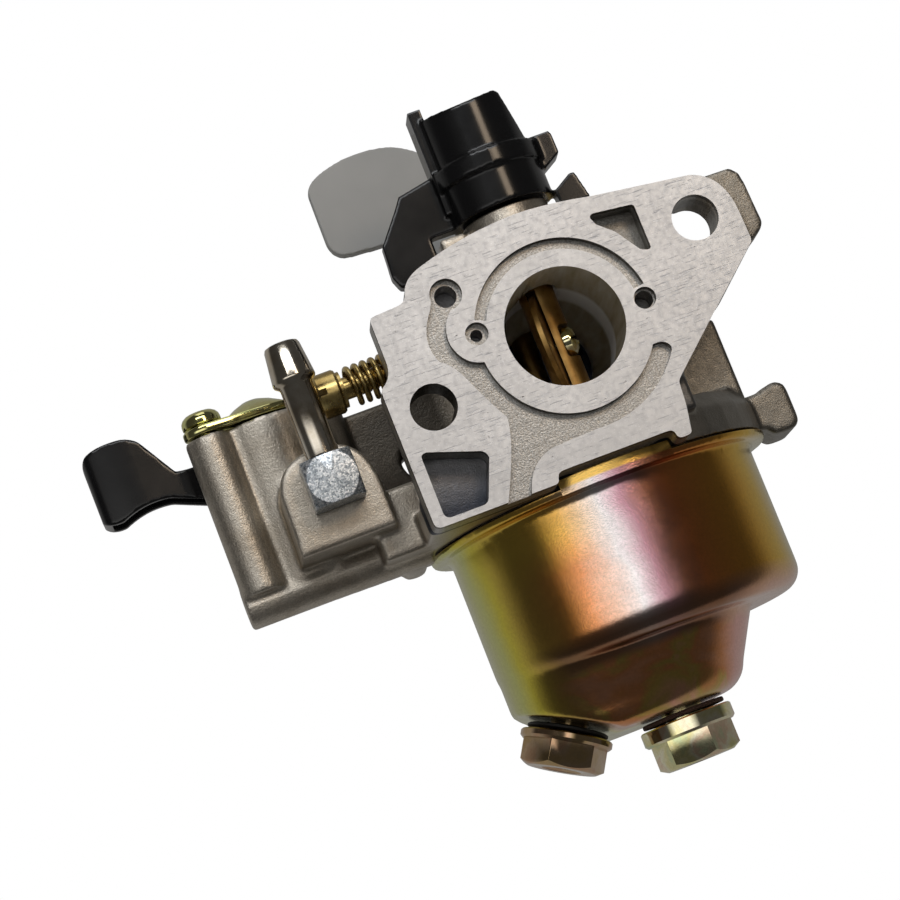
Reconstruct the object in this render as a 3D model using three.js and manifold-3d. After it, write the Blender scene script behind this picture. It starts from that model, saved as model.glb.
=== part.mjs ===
// Float-bowl carburetor for a small four-stroke engine, modelled as its separate pieces.
// Millimetres, +Z up. The origin is the centre of the throttle bore at the engine flange face.
// The flange face is the plane Y = 0 and faces -Y; air flows from +Y to -Y; the bowl hangs in -Z.
import * as THREE from 'three';
import { mergeVertices } from 'three/addons/utils/BufferGeometryUtils.js';
import Module from 'manifold-3d';

const wasm = await Module();
wasm.setup();

// ---- driving dimensions -------------------------------------------------------------------
const GAP = 0.3;                   // clearance kept between pieces that touch
const ROUND = 40;                  // segments of a large circle
const FINE = 20;                   // segments of a small circle

const BORE_R = 7.8;                // throttle bore
const VENTURI_R = 6.2;
const CHOKE_BORE_R = 9.2;
const BODY_LENGTH = 50;            // engine face to air-cleaner face
const FLANGE_T = 6.3;
const STUD_SPAN = 42;              // between the two through-stud holes
const STUD_R = 3.05;
const STUD_TILT = THREE.MathUtils.degToRad(15.7);
const STUD_MID = { x: 0.73, z: 1.7 };
const studs = [-1, 1].map((side) => ({
  x: STUD_MID.x + side * (STUD_SPAN / 2) * Math.cos(STUD_TILT),
  z: STUD_MID.z + side * (STUD_SPAN / 2) * Math.sin(STUD_TILT),
}));

const THROTTLE_Y = 12;
const THROTTLE_REST = -16;         // degrees the throttle stands from wide open
const THROTTLE_SHAFT_R = 2.4;
const BOSS_TOP = 18.9;             // top of the throttle shaft boss
const CHOKE_Y = 39;
const CHOKE_SHAFT_R = 2.0;

const BOWL_Y = 28.3;               // bowl axis
const BOWL_R = 21.8;
const BOWL_WALL = 0.9;
const LIP_R = 24.3;
const LIP_TOP = -18.85;
const LEDGE_Z = -39.8;
const SUMP_Z = -49.5;
const SUMP_R = 17.6;
const SUMP_X = SUMP_R - BOWL_R + 0.15;   // the sump nearly touches the bowl wall on its left
const SUMP_SHOULDER = -40.5;       // the sump narrows below this height
const SUMP_TAPER = 0.29;           // narrowing per mm of depth; the left wall is kept upright
const CAP_BOTTOM = -18.5;
const CAP_TOP = -12.4;
const CHAMBER_TOP = -14.8;
const PILLAR_R = 5.2;
const PILLAR_BOTTOM = -46.2;

const DRAIN_TILT = 31;             // degrees the drain bolt leans to the left of straight down
const DRAIN = { x: -15.2, y: BOWL_Y - 1, z: -46.2 };

const VALVE = { x: -39.5, y: 27 }; // fuel tap axis
const TAP_TOP = 6.3;               // top face of the fuel tap housing
const SCREW_LEFT = { x: -46.9, y: 20.4 };
const SCREW_RIGHT = { x: -31.5, y: 32.8 };
const PAD_Y = 9;                   // face of the fuel inlet pad
const INLET = { x: -34.3, z: -7.2 };
const PILOT = { y: 12, z: 4.5 };   // idle mixture screw axis
const PILOT_JET = { x: 6.4, y: 32.2, foot: 6.2 };
const STOP = { y: 25, z: 15.4 };   // throttle stop screw axis
const FLOAT_PIN = { y: BOWL_Y + 17.7, z: -20.5 };
const NEEDLE_Y = FLOAT_PIN.y - 3.4;

// ---- solids -------------------------------------------------------------------------------
function closedGeometry(geometry) {
  const bare = (geometry.index ? geometry.toNonIndexed() : geometry).clone();
  bare.deleteAttribute('normal');
  bare.deleteAttribute('uv');
  return mergeVertices(bare, 1e-4);
}

function signedVolume(geometry) {
  const { array } = geometry.attributes.position;
  const index = geometry.index.array;
  let six = 0;
  for (let i = 0; i < index.length; i += 3) {
    const [a, b, c] = [index[i] * 3, index[i + 1] * 3, index[i + 2] * 3];
    six += array[a] * (array[b + 1] * array[c + 2] - array[b + 2] * array[c + 1])
      - array[a + 1] * (array[b] * array[c + 2] - array[b + 2] * array[c])
      + array[a + 2] * (array[b] * array[c + 1] - array[b + 1] * array[c]);
  }
  return six;
}

function solid(geometry) {
  const closed = closedGeometry(geometry);
  const triVerts = Uint32Array.from(closed.index.array);
  if (signedVolume(closed) < 0) {
    for (let i = 0; i < triVerts.length; i += 3) {
      [triVerts[i + 1], triVerts[i + 2]] = [triVerts[i + 2], triVerts[i + 1]];
    }
  }
  const vertProperties = Float32Array.from(closed.attributes.position.array);
  return new wasm.Manifold(new wasm.Mesh({ numProp: 3, vertProperties, triVerts }));
}

function join(...parts) {
  return parts.reduce((whole, part) => whole.add(part));
}

function cut(whole, ...tools) {
  return tools.reduce((rest, tool) => rest.subtract(tool), whole);
}

function geometryOf(manifold) {
  const mesh = manifold.getMesh();
  const geometry = new THREE.BufferGeometry();
  geometry.setAttribute('position', new THREE.BufferAttribute(Float32Array.from(mesh.vertProperties), 3));
  geometry.setIndex(new THREE.BufferAttribute(Uint32Array.from(mesh.triVerts), 1));
  const flat = geometry.toNonIndexed();
  flat.computeVertexNormals();
  return flat;
}

// A profile of [radius, height] pairs turned about the vertical through (x, y).
function turned(x, y, profile, segments = ROUND) {
  const points = profile.map(([r, z]) => new THREE.Vector2(r, z));
  return solid(new THREE.LatheGeometry(points, segments).rotateX(Math.PI / 2).translate(x, y, 0));
}

function rodZ(x, y, z0, z1, radius, segments = FINE) {
  return turned(x, y, [[0, z0], [radius, z0], [radius, z1], [0, z1]], segments);
}

function ringZ(x, y, z0, z1, inner, outer, segments = FINE) {
  return cut(rodZ(x, y, z0, z1, outer, segments), rodZ(x, y, z0 - 1, z1 + 1, inner, segments));
}

function rodY(x, z, y0, y1, radius, segments = FINE) {
  const rod = new THREE.CylinderGeometry(radius, radius, y1 - y0, segments);
  return solid(rod.translate(x, (y0 + y1) / 2, z));
}

// A profile of [radius, x] pairs turned about the line along X through (y, z).
function turnedX(y, z, profile, segments = FINE) {
  const points = profile.map(([r, x]) => new THREE.Vector2(r, x));
  return solid(new THREE.LatheGeometry(points, segments).rotateZ(-Math.PI / 2).translate(0, y, z));
}

function rodX(y, z, x0, x1, radius, segments = FINE) {
  return turnedX(y, z, [[0, x0], [radius, x0], [radius, x1], [0, x1]], segments);
}

function block(x0, x1, y0, y1, z0, z1) {
  const box = new THREE.BoxGeometry(x1 - x0, y1 - y0, z1 - z0);
  return solid(box.translate((x0 + x1) / 2, (y0 + y1) / 2, (z0 + z1) / 2));
}

function outline(points) {
  return new THREE.Shape(points.map(([a, b]) => new THREE.Vector2(a, b)));
}

// An outline in X and Z, extruded from y0 to y1.
function plateY(shape, y0, y1, curveSegments = 8) {
  const slab = new THREE.ExtrudeGeometry(shape, { depth: y1 - y0, bevelEnabled: false, curveSegments });
  return solid(slab.rotateX(Math.PI / 2).translate(0, y1, 0));
}

// An outline in X and Y, extruded from z0 to z1.
function plateZ(shape, z0, z1, curveSegments = 8) {
  const slab = new THREE.ExtrudeGeometry(shape, { depth: z1 - z0, bevelEnabled: false, curveSegments });
  return solid(slab.translate(0, 0, z0));
}

// The outline of a band stretched round several circles [x, y, radius].
function bandRound(circles, segments = 32) {
  const points = circles.flatMap(([x, y, radius]) => Array.from({ length: segments }, (_, i) => {
    const angle = (2 * Math.PI * i) / segments;
    return [x + radius * Math.cos(angle), y + radius * Math.sin(angle)];
  }));
  points.sort((p, q) => p[0] - q[0] || p[1] - q[1]);
  const turn = (o, a, b) => (a[0] - o[0]) * (b[1] - o[1]) - (a[1] - o[1]) * (b[0] - o[0]);
  const chain = (list) => {
    const kept = [];
    for (const point of list) {
      while (kept.length > 1 && turn(kept.at(-2), kept.at(-1), point) <= 1e-6) kept.pop();
      kept.push(point);
    }
    return kept.slice(0, -1);
  };
  return outline([...chain(points), ...chain(points.reverse())]);
}

// A ring sector in X and Z about the bore, angles in degrees.
function ringSector(inner, outer, from, to) {
  const shape = new THREE.Shape();
  const [a, b] = [THREE.MathUtils.degToRad(from), THREE.MathUtils.degToRad(to)];
  shape.absarc(0, 0, outer, a, b, false);
  shape.absarc(0, 0, inner, b, a, true);
  shape.closePath();
  return shape;
}

function hexagon(x, y, acrossFlats, z0, z1, turn, chamfer = 0.6) {
  const corner = acrossFlats / Math.sqrt(3);
  const prism = new THREE.CylinderGeometry(corner, corner, z1 - z0, 6).rotateX(Math.PI / 2).rotateZ(turn);
  const flat = acrossFlats / 2;
  const crown = turned(x, y, [[0, z0], [flat, z0], [flat + 3 * chamfer, z0 + 2 * chamfer],
    [flat + 3 * chamfer, z1 + 1], [0, z1 + 1]]);
  return solid(prism.translate(x, y, (z0 + z1) / 2)).intersect(crown);
}

// ---- body casting -------------------------------------------------------------------------
function flangeOutline() {
  const shape = new THREE.Shape();
  shape.moveTo(-24.9, -18.0);
  shape.lineTo(-25.0, 0.4);
  shape.quadraticCurveTo(-23.1, 1.2, -23.05, 3.4);
  shape.lineTo(-23.05, 9.6);
  shape.lineTo(-18.9, 9.85);
  shape.quadraticCurveTo(-17.8, 10.0, -17.6, 11.2);
  shape.quadraticCurveTo(-17.0, 13.0, -14.2, 13.75);
  shape.quadraticCurveTo(-7.2, 15.9, 0, 15.9);
  shape.quadraticCurveTo(4.6, 15.7, 9.4, 14.7);
  shape.lineTo(22.4, 12.9);
  shape.quadraticCurveTo(26.5, 11.6, 26.6, 6.0);
  shape.lineTo(26.7, 2.0);
  shape.lineTo(17.8, -5.65);
  shape.lineTo(10.9, -11.7);
  shape.lineTo(10.6, -15.0);
  shape.lineTo(9.9, -18.7);
  shape.lineTo(8.0, -18.7);
  shape.lineTo(7.9, -17.3);
  shape.lineTo(-8.0, -17.3);
  shape.lineTo(-8.2, -18.7);
  shape.lineTo(-24.0, -18.7);
  shape.quadraticCurveTo(-24.8, -18.7, -24.9, -18.0);
  return shape;
}

// The cast ear that stands out behind the machined edge, round the right stud hole.
function flangeEar() {
  return plateY(outline([[20, 12.9], [28.3, 12.6], [29.3, 11.5], [29.7, 4.4], [29.0, 3.5], [27.3, 2.4], [20, -4]]),
    2.6, 8.2);
}

// The shallow cast channel that starts at the upper left hole and leaves at the bottom edge.
function channelOutline() {
  const shape = new THREE.Shape();
  shape.moveTo(-12.2, 7.6);
  shape.quadraticCurveTo(-15.0, 5.6, -14.6, 2.6);
  shape.quadraticCurveTo(-13.9, -0.3, -11.4, -0.8);
  shape.absarc(0, 0, 11.4, THREE.MathUtils.degToRad(184), THREE.MathUtils.degToRad(327), false);
  shape.quadraticCurveTo(11.3, -6.0, 11.7, -7.3);
  shape.absarc(0, 0, 13.9, THREE.MathUtils.degToRad(-32), THREE.MathUtils.degToRad(-94), true);
  shape.lineTo(-7.0, -14.1);
  shape.quadraticCurveTo(-10.9, -14.6, -12.1, -19.2);
  shape.lineTo(-15.4, -19.2);
  shape.quadraticCurveTo(-11.4, -11.5, -11.3, -8.4);
  shape.quadraticCurveTo(-12.4, -6.6, -14.4, -1.8);
  shape.quadraticCurveTo(-15.4, 0.4, -16.7, 1.2);
  shape.quadraticCurveTo(-18.2, 4.4, -15.4, 7.9);
  shape.lineTo(-14.8, 9.1);
  return shape;
}

function flangeRecesses() {
  const floor = 1.2;
  const drillDepth = 5.4;
  const smallHoles = [
    { x: -12.8, z: 9.1, mouth: 2.1, drill: 1.45 },
    { x: -10.95, z: 2.95, mouth: 1.5, drill: 0.8 },
    { x: 10.9, z: -0.2, mouth: 1.45, drill: 1.2 },
  ];
  const triangle = outline([[8.2, 12.0], [9.1, 12.45], [13.6, 11.9], [14.15, 11.3], [14.15, 6.0],
    [13.6, 5.6], [12.7, 6.0], [10.6, 9.2], [8.6, 11.0]]);
  const trapezium = outline([[-23.3, -9.5], [-22.4, -9.1], [-16.1, -11.3], [-15.2, -12.2],
    [-17.7, -17.9], [-22.2, -17.9], [-23.3, -17.2]]);
  const holes = smallHoles.flatMap((hole) => [
    rodY(hole.x, hole.z, -1, floor, hole.mouth, 16),
    rodY(hole.x, hole.z, -1, drillDepth, hole.drill, 12),
  ]);
  return [
    plateY(channelOutline(), -1, floor, 10),
    plateY(ringSector(10.1, 11.6, 8, 156), -1, floor, 20),
    plateY(triangle, -1, 3.6),
    plateY(trapezium, -1, 5.2),
    ...holes,
  ];
}

function airPassage() {
  return solid(new THREE.LatheGeometry([
    [0, -1], [BORE_R, -1], [BORE_R, 20], [VENTURI_R, 25], [VENTURI_R, 28],
    [CHOKE_BORE_R, 33], [CHOKE_BORE_R, BODY_LENGTH - 2], [CHOKE_BORE_R + 1.6, BODY_LENGTH],
    [CHOKE_BORE_R + 1.6, BODY_LENGTH + 1], [0, BODY_LENGTH + 1],
  ].map(([r, y]) => new THREE.Vector2(r, y)), ROUND));
}

function airFlange() {
  const thickness = 4;
  const ears = bandRound([[studs[0].x, studs[0].z, 6], [0, 0, 14], [studs[1].x, studs[1].z, 6]]);
  return plateY(ears, BODY_LENGTH - thickness, BODY_LENGTH);
}

function fuelTapHousing() {
  const lobes = join(
    rodZ(SCREW_LEFT.x, SCREW_LEFT.y, -16, TAP_TOP, 3.15),
    rodZ(SCREW_RIGHT.x, SCREW_RIGHT.y, -16, TAP_TOP, 3.6),
    rodZ(VALVE.x, VALVE.y, -16, TAP_TOP, 8.6, ROUND),
    plateZ(bandRound([[SCREW_LEFT.x + 1.6, SCREW_LEFT.y + 1.6, 2.6], [VALVE.x, VALVE.y, 8.2],
      [SCREW_RIGHT.x - 1, SCREW_RIGHT.y - 1, 3]]), -16, TAP_TOP),
  );
  const base = plateZ(bandRound([[-46, 24.6, 4], [-45, 31, 4], [-22, 24.6, 4], [-22, 34, 4]]), -18.2, -14.9);
  const roll = rodX(21.6, -17.1, -50.1, -24.2, 2.8);
  // The lever swings through a quarter turn over the rear left of the housing.
  const leverSweep = cut(
    block(-54, -34.4, SCREW_LEFT.y + 4.1, 40, -4.6, TAP_TOP + 1),
    rodZ(VALVE.x, VALVE.y, -6, TAP_TOP + 2, 7.4, ROUND),
  );
  const discPocket = rodZ(VALVE.x, VALVE.y, -0.3, TAP_TOP + 1, 7.4, ROUND);
  const tapped = [SCREW_LEFT, SCREW_RIGHT].map(({ x, y }) => rodZ(x, y, -1.5, TAP_TOP + 1, 1.7, 16));
  const outlet = rodZ(VALVE.x, VALVE.y, -12, 0, 1.5, 12);
  return cut(join(lobes, base, roll), leverSweep, discPocket, outlet, ...tapped);
}

function inletPad() {
  const shape = new THREE.Shape();
  shape.moveTo(-41.3, -14.9);
  shape.lineTo(-41.1, -6.5);
  shape.quadraticCurveTo(-40.4, -1.9, -34.6, -1.9);
  shape.quadraticCurveTo(-28.4, -1.9, -28.2, -9.5);
  shape.lineTo(-28.1, -14.9);
  const shank = rodY(INLET.x, INLET.z, PAD_Y - 1, PAD_Y + 5.6, 2.4);
  return cut(plateY(shape, PAD_Y, 21), shank);
}

function chamberCap() {
  const cap = turned(0, BOWL_Y, [[0, CAP_BOTTOM], [24.2, CAP_BOTTOM], [24.2, CAP_TOP - 2.4], [22.8, CAP_TOP],
    [0, CAP_TOP]]);
  const lugs = [[-28.4, -24.6], [24.8, 29.3]].map(([near, far]) => plateY(
    bandRound([[near + 1.4, -18.3, 1.4], [far - 1.4, -18.3, 1.4], [near + 1.4, -14.4, 1.4],
      [far - 1.6, -14.3, 1.6]], 12),
    BOWL_Y - 4.5,
    BOWL_Y + 4.5,
  ));
  const roots = [[-26, -20], [20, 26]].map(([near, far]) => (
    block(near, far, BOWL_Y - 4.5, BOWL_Y + 4.5, CAP_BOTTOM, CAP_TOP - 1)));
  return join(cap, ...lugs, ...roots);
}

function chamberHollow() {
  const chamber = rodZ(0, BOWL_Y, CAP_BOTTOM - 1, CHAMBER_TOP, BOWL_R - 1.5, ROUND);
  return join(chamber, ringZ(0, BOWL_Y, CAP_BOTTOM - 1, -16.9, 21.3, 23.3, ROUND));
}

function chamberPosts() {
  const pillar = rodZ(0, BOWL_Y, PILLAR_BOTTOM, CHAMBER_TOP + 1, PILLAR_R);
  const posts = [[-5.9, -3.7], [3.7, 5.9]].map(([near, far]) => (
    block(near, far, FLOAT_PIN.y - 1.5, FLOAT_PIN.y + 1.5, FLOAT_PIN.z - 1.8, CHAMBER_TOP + 1)));
  return join(pillar, ...posts);
}

function bodyCasting() {
  const masses = [
    plateY(flangeOutline(), 0, FLANGE_T),
    flangeEar(),
    rodY(0, 0, 5, BODY_LENGTH - 2, 12, ROUND),
    airFlange(),
    block(-15.5, 13, 5, 20, -15, -2.4),                          // saddle between barrel and cap
    block(-15.5, 22.4, 19, BODY_LENGTH - 3, -15, -2.4),
    block(-32, -10, 34.2, 38.2, -14, 5.2),                       // web behind the left stud
    block(-25.3, -10, 5, 20, CAP_BOTTOM, -14.3),                 // lower left corner
    block(-31, -12, 14, 34, CAP_BOTTOM, -9.6),                   // bridge to the fuel tap
    rodZ(0, THROTTLE_Y, 6, BOSS_TOP, 5.9, FINE),
    rodZ(0, CHOKE_Y, 6, 16, 4.8, FINE),
    block(-9.6, -6.2, 9.4, 14, 9, 18.2),                         // throttle stop lug
    rodX(PILOT.y, PILOT.z, -21, -8, 3.4),
    block(1.4, 5.2, STOP.y - 3, STOP.y + 3, 8, STOP.z + 2.8),    // stop screw post
    rodZ(PILOT_JET.x, PILOT_JET.y, 4, 12.2, 3.6),
    fuelTapHousing(),
    inletPad(),
    chamberCap(),
  ];
  const nozzleHole = turned(0, BOWL_Y, [[0, PILLAR_BOTTOM - 1], [3.2, PILLAR_BOTTOM - 1], [3.2, -38.4],
    [2.5, -38.4], [2.5, 0], [0, 0]], 16);
  const holes = [
    rodZ(0, THROTTLE_Y, -10.2, 20, THROTTLE_SHAFT_R + GAP),
    rodZ(0, THROTTLE_Y, BOSS_TOP - 1.6, BOSS_TOP + 1, 4.3),
    rodZ(0, CHOKE_Y, -10.9, 17, CHOKE_SHAFT_R + GAP),
    rodZ(0, NEEDLE_Y, CHAMBER_TOP - 1, -11.3, 2.9, 16),
    rodZ(PILOT_JET.x, PILOT_JET.y, PILOT_JET.foot - GAP, 13, 2.2, 16),
    rodX(PILOT.y, PILOT.z, -22, -7.2, 1.9, 16),
    rodX(STOP.y, STOP.z, 0, 7, 1.9, 16),
    rodX(FLOAT_PIN.y, FLOAT_PIN.z, -7, 7, 1.0, 12),
    ...studs.map(({ x, z }) => rodY(x, z, -1, BODY_LENGTH + 1, STUD_R)),
  ];
  const casting = join(cut(join(...masses), chamberHollow()), chamberPosts());
  return cut(casting, airPassage(), nozzleHole, ...holes, ...flangeRecesses());
}

// ---- float bowl and its fasteners ---------------------------------------------------------
// The lower half of a pressed cup: flat floor, rounded corner, straight wall.
function cupProfile(radius, floor, corner, top) {
  const steps = 4;
  const bend = Array.from({ length: steps + 1 }, (_, i) => {
    const angle = (Math.PI / 2) * (i / steps);
    return [radius - corner + corner * Math.sin(angle), floor + corner - corner * Math.cos(angle)];
  });
  return [[0, floor], ...bend, [radius, top], [0, top]];
}

function bowlForm(inset) {
  const ledgeCorner = 2.8;
  const sumpCorner = 3.0;
  const cup = turned(0, BOWL_Y, cupProfile(BOWL_R - inset, LEDGE_Z + inset, ledgeCorner - inset, LIP_TOP));
  const footRadius = SUMP_R - SUMP_TAPER * (SUMP_SHOULDER - SUMP_Z - sumpCorner);
  const foot = cupProfile(footRadius - inset, SUMP_Z + inset, sumpCorner - inset, LIP_TOP).slice(0, -2);
  const upright = turned(SUMP_X, BOWL_Y, [...foot, [SUMP_R - inset, SUMP_SHOULDER], [SUMP_R - inset, LEDGE_Z + 6],
    [0, LEDGE_Z + 6]]);
  const lean = new THREE.Matrix4().set(
    1, 0, SUMP_TAPER, -SUMP_TAPER * SUMP_SHOULDER,
    0, 1, 0, 0,
    0, 0, 1, 0,
    0, 0, 0, 1,
  );
  const well = upright.transform(lean.elements);
  const slopeCut = solid(new THREE.BoxGeometry(40, 60, 20)
    .translate(0, 0, -10)
    .rotateY(THREE.MathUtils.degToRad(DRAIN_TILT))
    .translate(DRAIN.x + inset * Math.sin(THREE.MathUtils.degToRad(DRAIN_TILT)), DRAIN.y,
      DRAIN.z + inset * Math.cos(THREE.MathUtils.degToRad(DRAIN_TILT))));
  return cut(join(cup, well), slopeCut);
}

// Places a piece made round the Z axis, mating face at Z = 0, on the sloping drain seat.
function onDrainSeat(geometry) {
  return geometry.rotateY(THREE.MathUtils.degToRad(DRAIN_TILT)).translate(DRAIN.x, DRAIN.y, DRAIN.z);
}

function drainRod(z0, z1, radius) {
  const rod = new THREE.CylinderGeometry(radius, radius, z1 - z0, FINE);
  return solid(onDrainSeat(rod.rotateX(Math.PI / 2).translate(0, 0, (z0 + z1) / 2)));
}

function floatBowl() {
  const lip = cut(
    rodZ(0, BOWL_Y, LIP_TOP - BOWL_WALL, LIP_TOP, LIP_R, ROUND),
    rodZ(0, BOWL_Y, LIP_TOP - 2, LIP_TOP + 1, BOWL_R - 1, ROUND),
  );
  const boltHole = rodZ(0, BOWL_Y, SUMP_Z - 1, SUMP_Z + 2, 3.2);
  const mouth = rodZ(0, BOWL_Y, LIP_TOP - 2, LIP_TOP + 1, BOWL_R - BOWL_WALL, ROUND);
  return cut(join(bowlForm(0), lip), bowlForm(BOWL_WALL), mouth, boltHole, drainRod(-2, 3, 2.9));
}

function bowlGasket() {
  const ring = new THREE.TorusGeometry(22.3, 0.62, 8, ROUND);
  return solid(ring.translate(0, BOWL_Y, -17.7));
}

function bowlBolt() {
  return join(
    rodZ(0, BOWL_Y, -53, -43.6, 2.9),
    rodZ(0, BOWL_Y, -52.8, SUMP_Z - 1.2, 6.45, 32),
    hexagon(0, BOWL_Y, 10, -56.8, -52.6, Math.PI / 12),
  );
}

function drainBolt() {
  const hex = onDrainSeat(new THREE.CylinderGeometry(5 / Math.cos(Math.PI / 6), 5 / Math.cos(Math.PI / 6), 4, 6)
    .rotateX(Math.PI / 2).rotateZ(Math.PI / 6).translate(0, 0, -3.9));
  return join(drainRod(-2.5, 3.4, 2.5), drainRod(-2.3, -1.2, 6.2), solid(hex));
}

function drainGasket() {
  return cut(drainRod(-0.9, -GAP, 5.4), drainRod(-3, 1, 2.9));
}

// ---- throttle ------------------------------------------------------------------------------
// A plate stands in a slot of its shaft, held by a screw whose head lies in a spot face of the shaft.
// Both are made with the plate edge-on to the air stream, round the local Z axis.
const PLATE_X = -0.4;
const PLATE_T = 0.8;
const SCREW_SEAT = 1.3;

function plateShaft(radius, z0, z1, bore) {
  const halfSlot = PLATE_T / 2 + GAP;
  const slot = block(PLATE_X - halfSlot, PLATE_X + halfSlot, -2 * radius, 2 * radius, -bore + 0.05, bore - 0.05);
  const spotFace = block(SCREW_SEAT - 0.1, 3 * radius, -2 * radius, 2 * radius, -2.3, 2.3);
  return cut(rodZ(0, 0, z0, z1, radius), slot, spotFace, rodX(0, 0, -5, 5, 0.9, 12));
}

function butterfly(radius) {
  const disc = solid(new THREE.CylinderGeometry(radius, radius, PLATE_T, 40).rotateZ(Math.PI / 2)
    .translate(PLATE_X, 0, 0));
  return cut(disc, rodX(0, 0, -5, 5, 0.9, 12));
}

function butterflyScrew() {
  const head = SCREW_SEAT + 1.6;
  const body = turnedX(0, 0, [[0, -1.8], [0.6, -1.8], [0.6, SCREW_SEAT], [2.0, SCREW_SEAT], [2.0, head - 0.7],
    [1.4, head - 0.1], [0, head]], 20);
  return cut(body, block(head - 0.7, head + 1, -0.25, 0.25, -3, 3));
}

function throttleLever() {
  const hubBottom = BOSS_TOP + GAP;
  const collarBottom = 24.2;
  const collarTop = 26.8;
  const ribTop = 36.0;
  const towerTop = 34.3;
  const hub = rodZ(0, 0, hubBottom, collarBottom + 0.1, 7.1, ROUND);
  const collar = rodZ(0, 0, collarBottom, collarTop, 7.6, ROUND);
  const drum = rodZ(0, 0, collarTop - 0.1, towerTop, 6.7, ROUND);
  const rib = block(-7.4, -5.6, -2.4, 2.4, hubBottom + 2, ribTop);
  const slant = plateY(outline([[3.6, 36.5], [3.9, 34.4], [4.6, 33.9], [6.0, 27.4], [10, 27.4], [10, 36.5]]), -9, 9);
  const dip = rodY(-1.2, 54.9, -9, 9, 21.2, 64);
  const ear = plateY(outline([[5, 23.4], [7.4, 22.8], [9.75, 24.2], [9.7, 26.9], [9.2, 27.8], [7, 28.3], [5, 28.3]]),
    -2, 2);
  const arm = plateY(outline([[-5, 26.9], [-7.4, 27.0], [-12.4, 26.0], [-13.4, 24.6], [-16.8, 20.4], [-17.1, 16.0],
    [-16.5, 14.4], [-14.6, 13.6], [-10.4, 13.6], [-10.4, 19.2], [-5, 19.2]]), -1.3, 1.3);
  const tab = plateY(outline([[5, 19.4], [5, 19.7], [7.4, 19.6], [10.1, 21.2], [10.7, 21.0], [11.5, 17.2],
    [7.4, 17.2], [7.4, 19.4]]), -1.6, 1.6);
  const well = rodZ(0, 0, towerTop - 6, ribTop + 1, 4.0, ROUND);
  const socket = rodZ(0, 0, hubBottom - 1, hubBottom + 6.6, THROTTLE_SHAFT_R + GAP);
  return cut(join(hub, collar, cut(drum, dip), rib, ear, arm, tab), slant, well, socket);
}

// ---- choke ---------------------------------------------------------------------------------
function chokeLever() {
  const hubBottom = 16.4;
  const hub = rodZ(0, 0, hubBottom, 21, 5, 32);
  const neck = plateY(outline([[0, 17.6], [0, 21], [-3, 34], [-12, 34], [-11, 27], [-4, 20], [-3, 17.6]]), -1.6, 0);
  const shape = new THREE.Shape();
  shape.moveTo(-13.4, 26.9);
  shape.lineTo(-18.4, 27.3);
  shape.quadraticCurveTo(-20.6, 27.6, -20.9, 30.0);
  shape.lineTo(-20.8, 37.4);
  shape.quadraticCurveTo(-20.7, 39.1, -17.5, 40.1);
  shape.quadraticCurveTo(-12.6, 41.6, -7.6, 40.2);
  shape.quadraticCurveTo(-4.2, 38.9, -2.2, 36.0);
  shape.lineTo(-2.2, 30.0);
  const tab = plateY(shape, -2.2, 0);
  const socket = rodZ(0, 0, hubBottom - 1, hubBottom + 3, CHOKE_SHAFT_R + GAP);
  return cut(join(hub, neck, tab), socket);
}

// ---- fuel tap ------------------------------------------------------------------------------
function fuelTapLever() {
  const disc = rodZ(0, 0, 1.2, 4.8, 7.1, ROUND);
  const frontWall = -2.2;
  const back = 4.6;
  const side = new THREE.Shape();
  side.moveTo(-4, 4.4);
  side.lineTo(-7.6, 4.4);
  side.quadraticCurveTo(-11.2, 4.3, -12.8, 4.6);
  side.lineTo(-15.8, 9.6);
  side.quadraticCurveTo(-16.8, 11.2, -19.2, 11.3);
  side.quadraticCurveTo(-21.6, 11.4, -23.3, 10.8);
  side.quadraticCurveTo(-24.3, 10.4, -24.4, 9.0);
  side.lineTo(-24.3, 1.4);
  side.quadraticCurveTo(-23.5, 0.3, -21.5, 0.5);
  side.quadraticCurveTo(-17.9, 2.1, -14.5, 1.4);
  side.lineTo(-9.0, -0.9);
  side.lineTo(-7.6, -0.9);
  side.lineTo(-7.6, 1.2);
  side.lineTo(-4, 1.2);
  const grip = plateY(side, frontWall, back, 6);
  const hollow = plateY(outline([[-23.1, -4], [-23.1, 8.4], [-17.2, 8.8], [-13.8, 2.8], [-9.6, 2.8], [-9.6, -4]]),
    frontWall + 1.2, back - 1.2);
  return join(disc, cut(grip, hollow));
}

function fuelTapCover() {
  const plate = plateZ(bandRound([[SCREW_LEFT.x, SCREW_LEFT.y, 2.95], [VALVE.x, VALVE.y, 7.6],
    [SCREW_RIGHT.x, SCREW_RIGHT.y, 3.3]]), TAP_TOP + GAP, TAP_TOP + 1.5);
  const dome = turned(VALVE.x, VALVE.y, [[0, 7], [5.6, 7], [5.2, 8.8], [3.8, 10.2], [0, 10.7]], 32);
  const holes = [SCREW_LEFT, SCREW_RIGHT].map(({ x, y }) => rodZ(x, y, 5, 9, 1.7, 16));
  return cut(join(plate, dome), ...holes);
}

function panScrew({ x, y }) {
  const seat = TAP_TOP + 1.7;
  const body = turned(x, y, [[0, -0.8], [1.4, -0.8], [1.4, seat], [2.7, seat], [2.7, seat + 0.9],
    [1.9, seat + 1.8], [0, seat + 2.0]], FINE);
  return cut(body, block(x - 0.35, x + 0.35, y - 1.7, y + 1.7, seat + 1.0, seat + 3),
    block(x - 1.7, x + 1.7, y - 0.35, y + 0.35, seat + 1.0, seat + 3));
}

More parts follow.
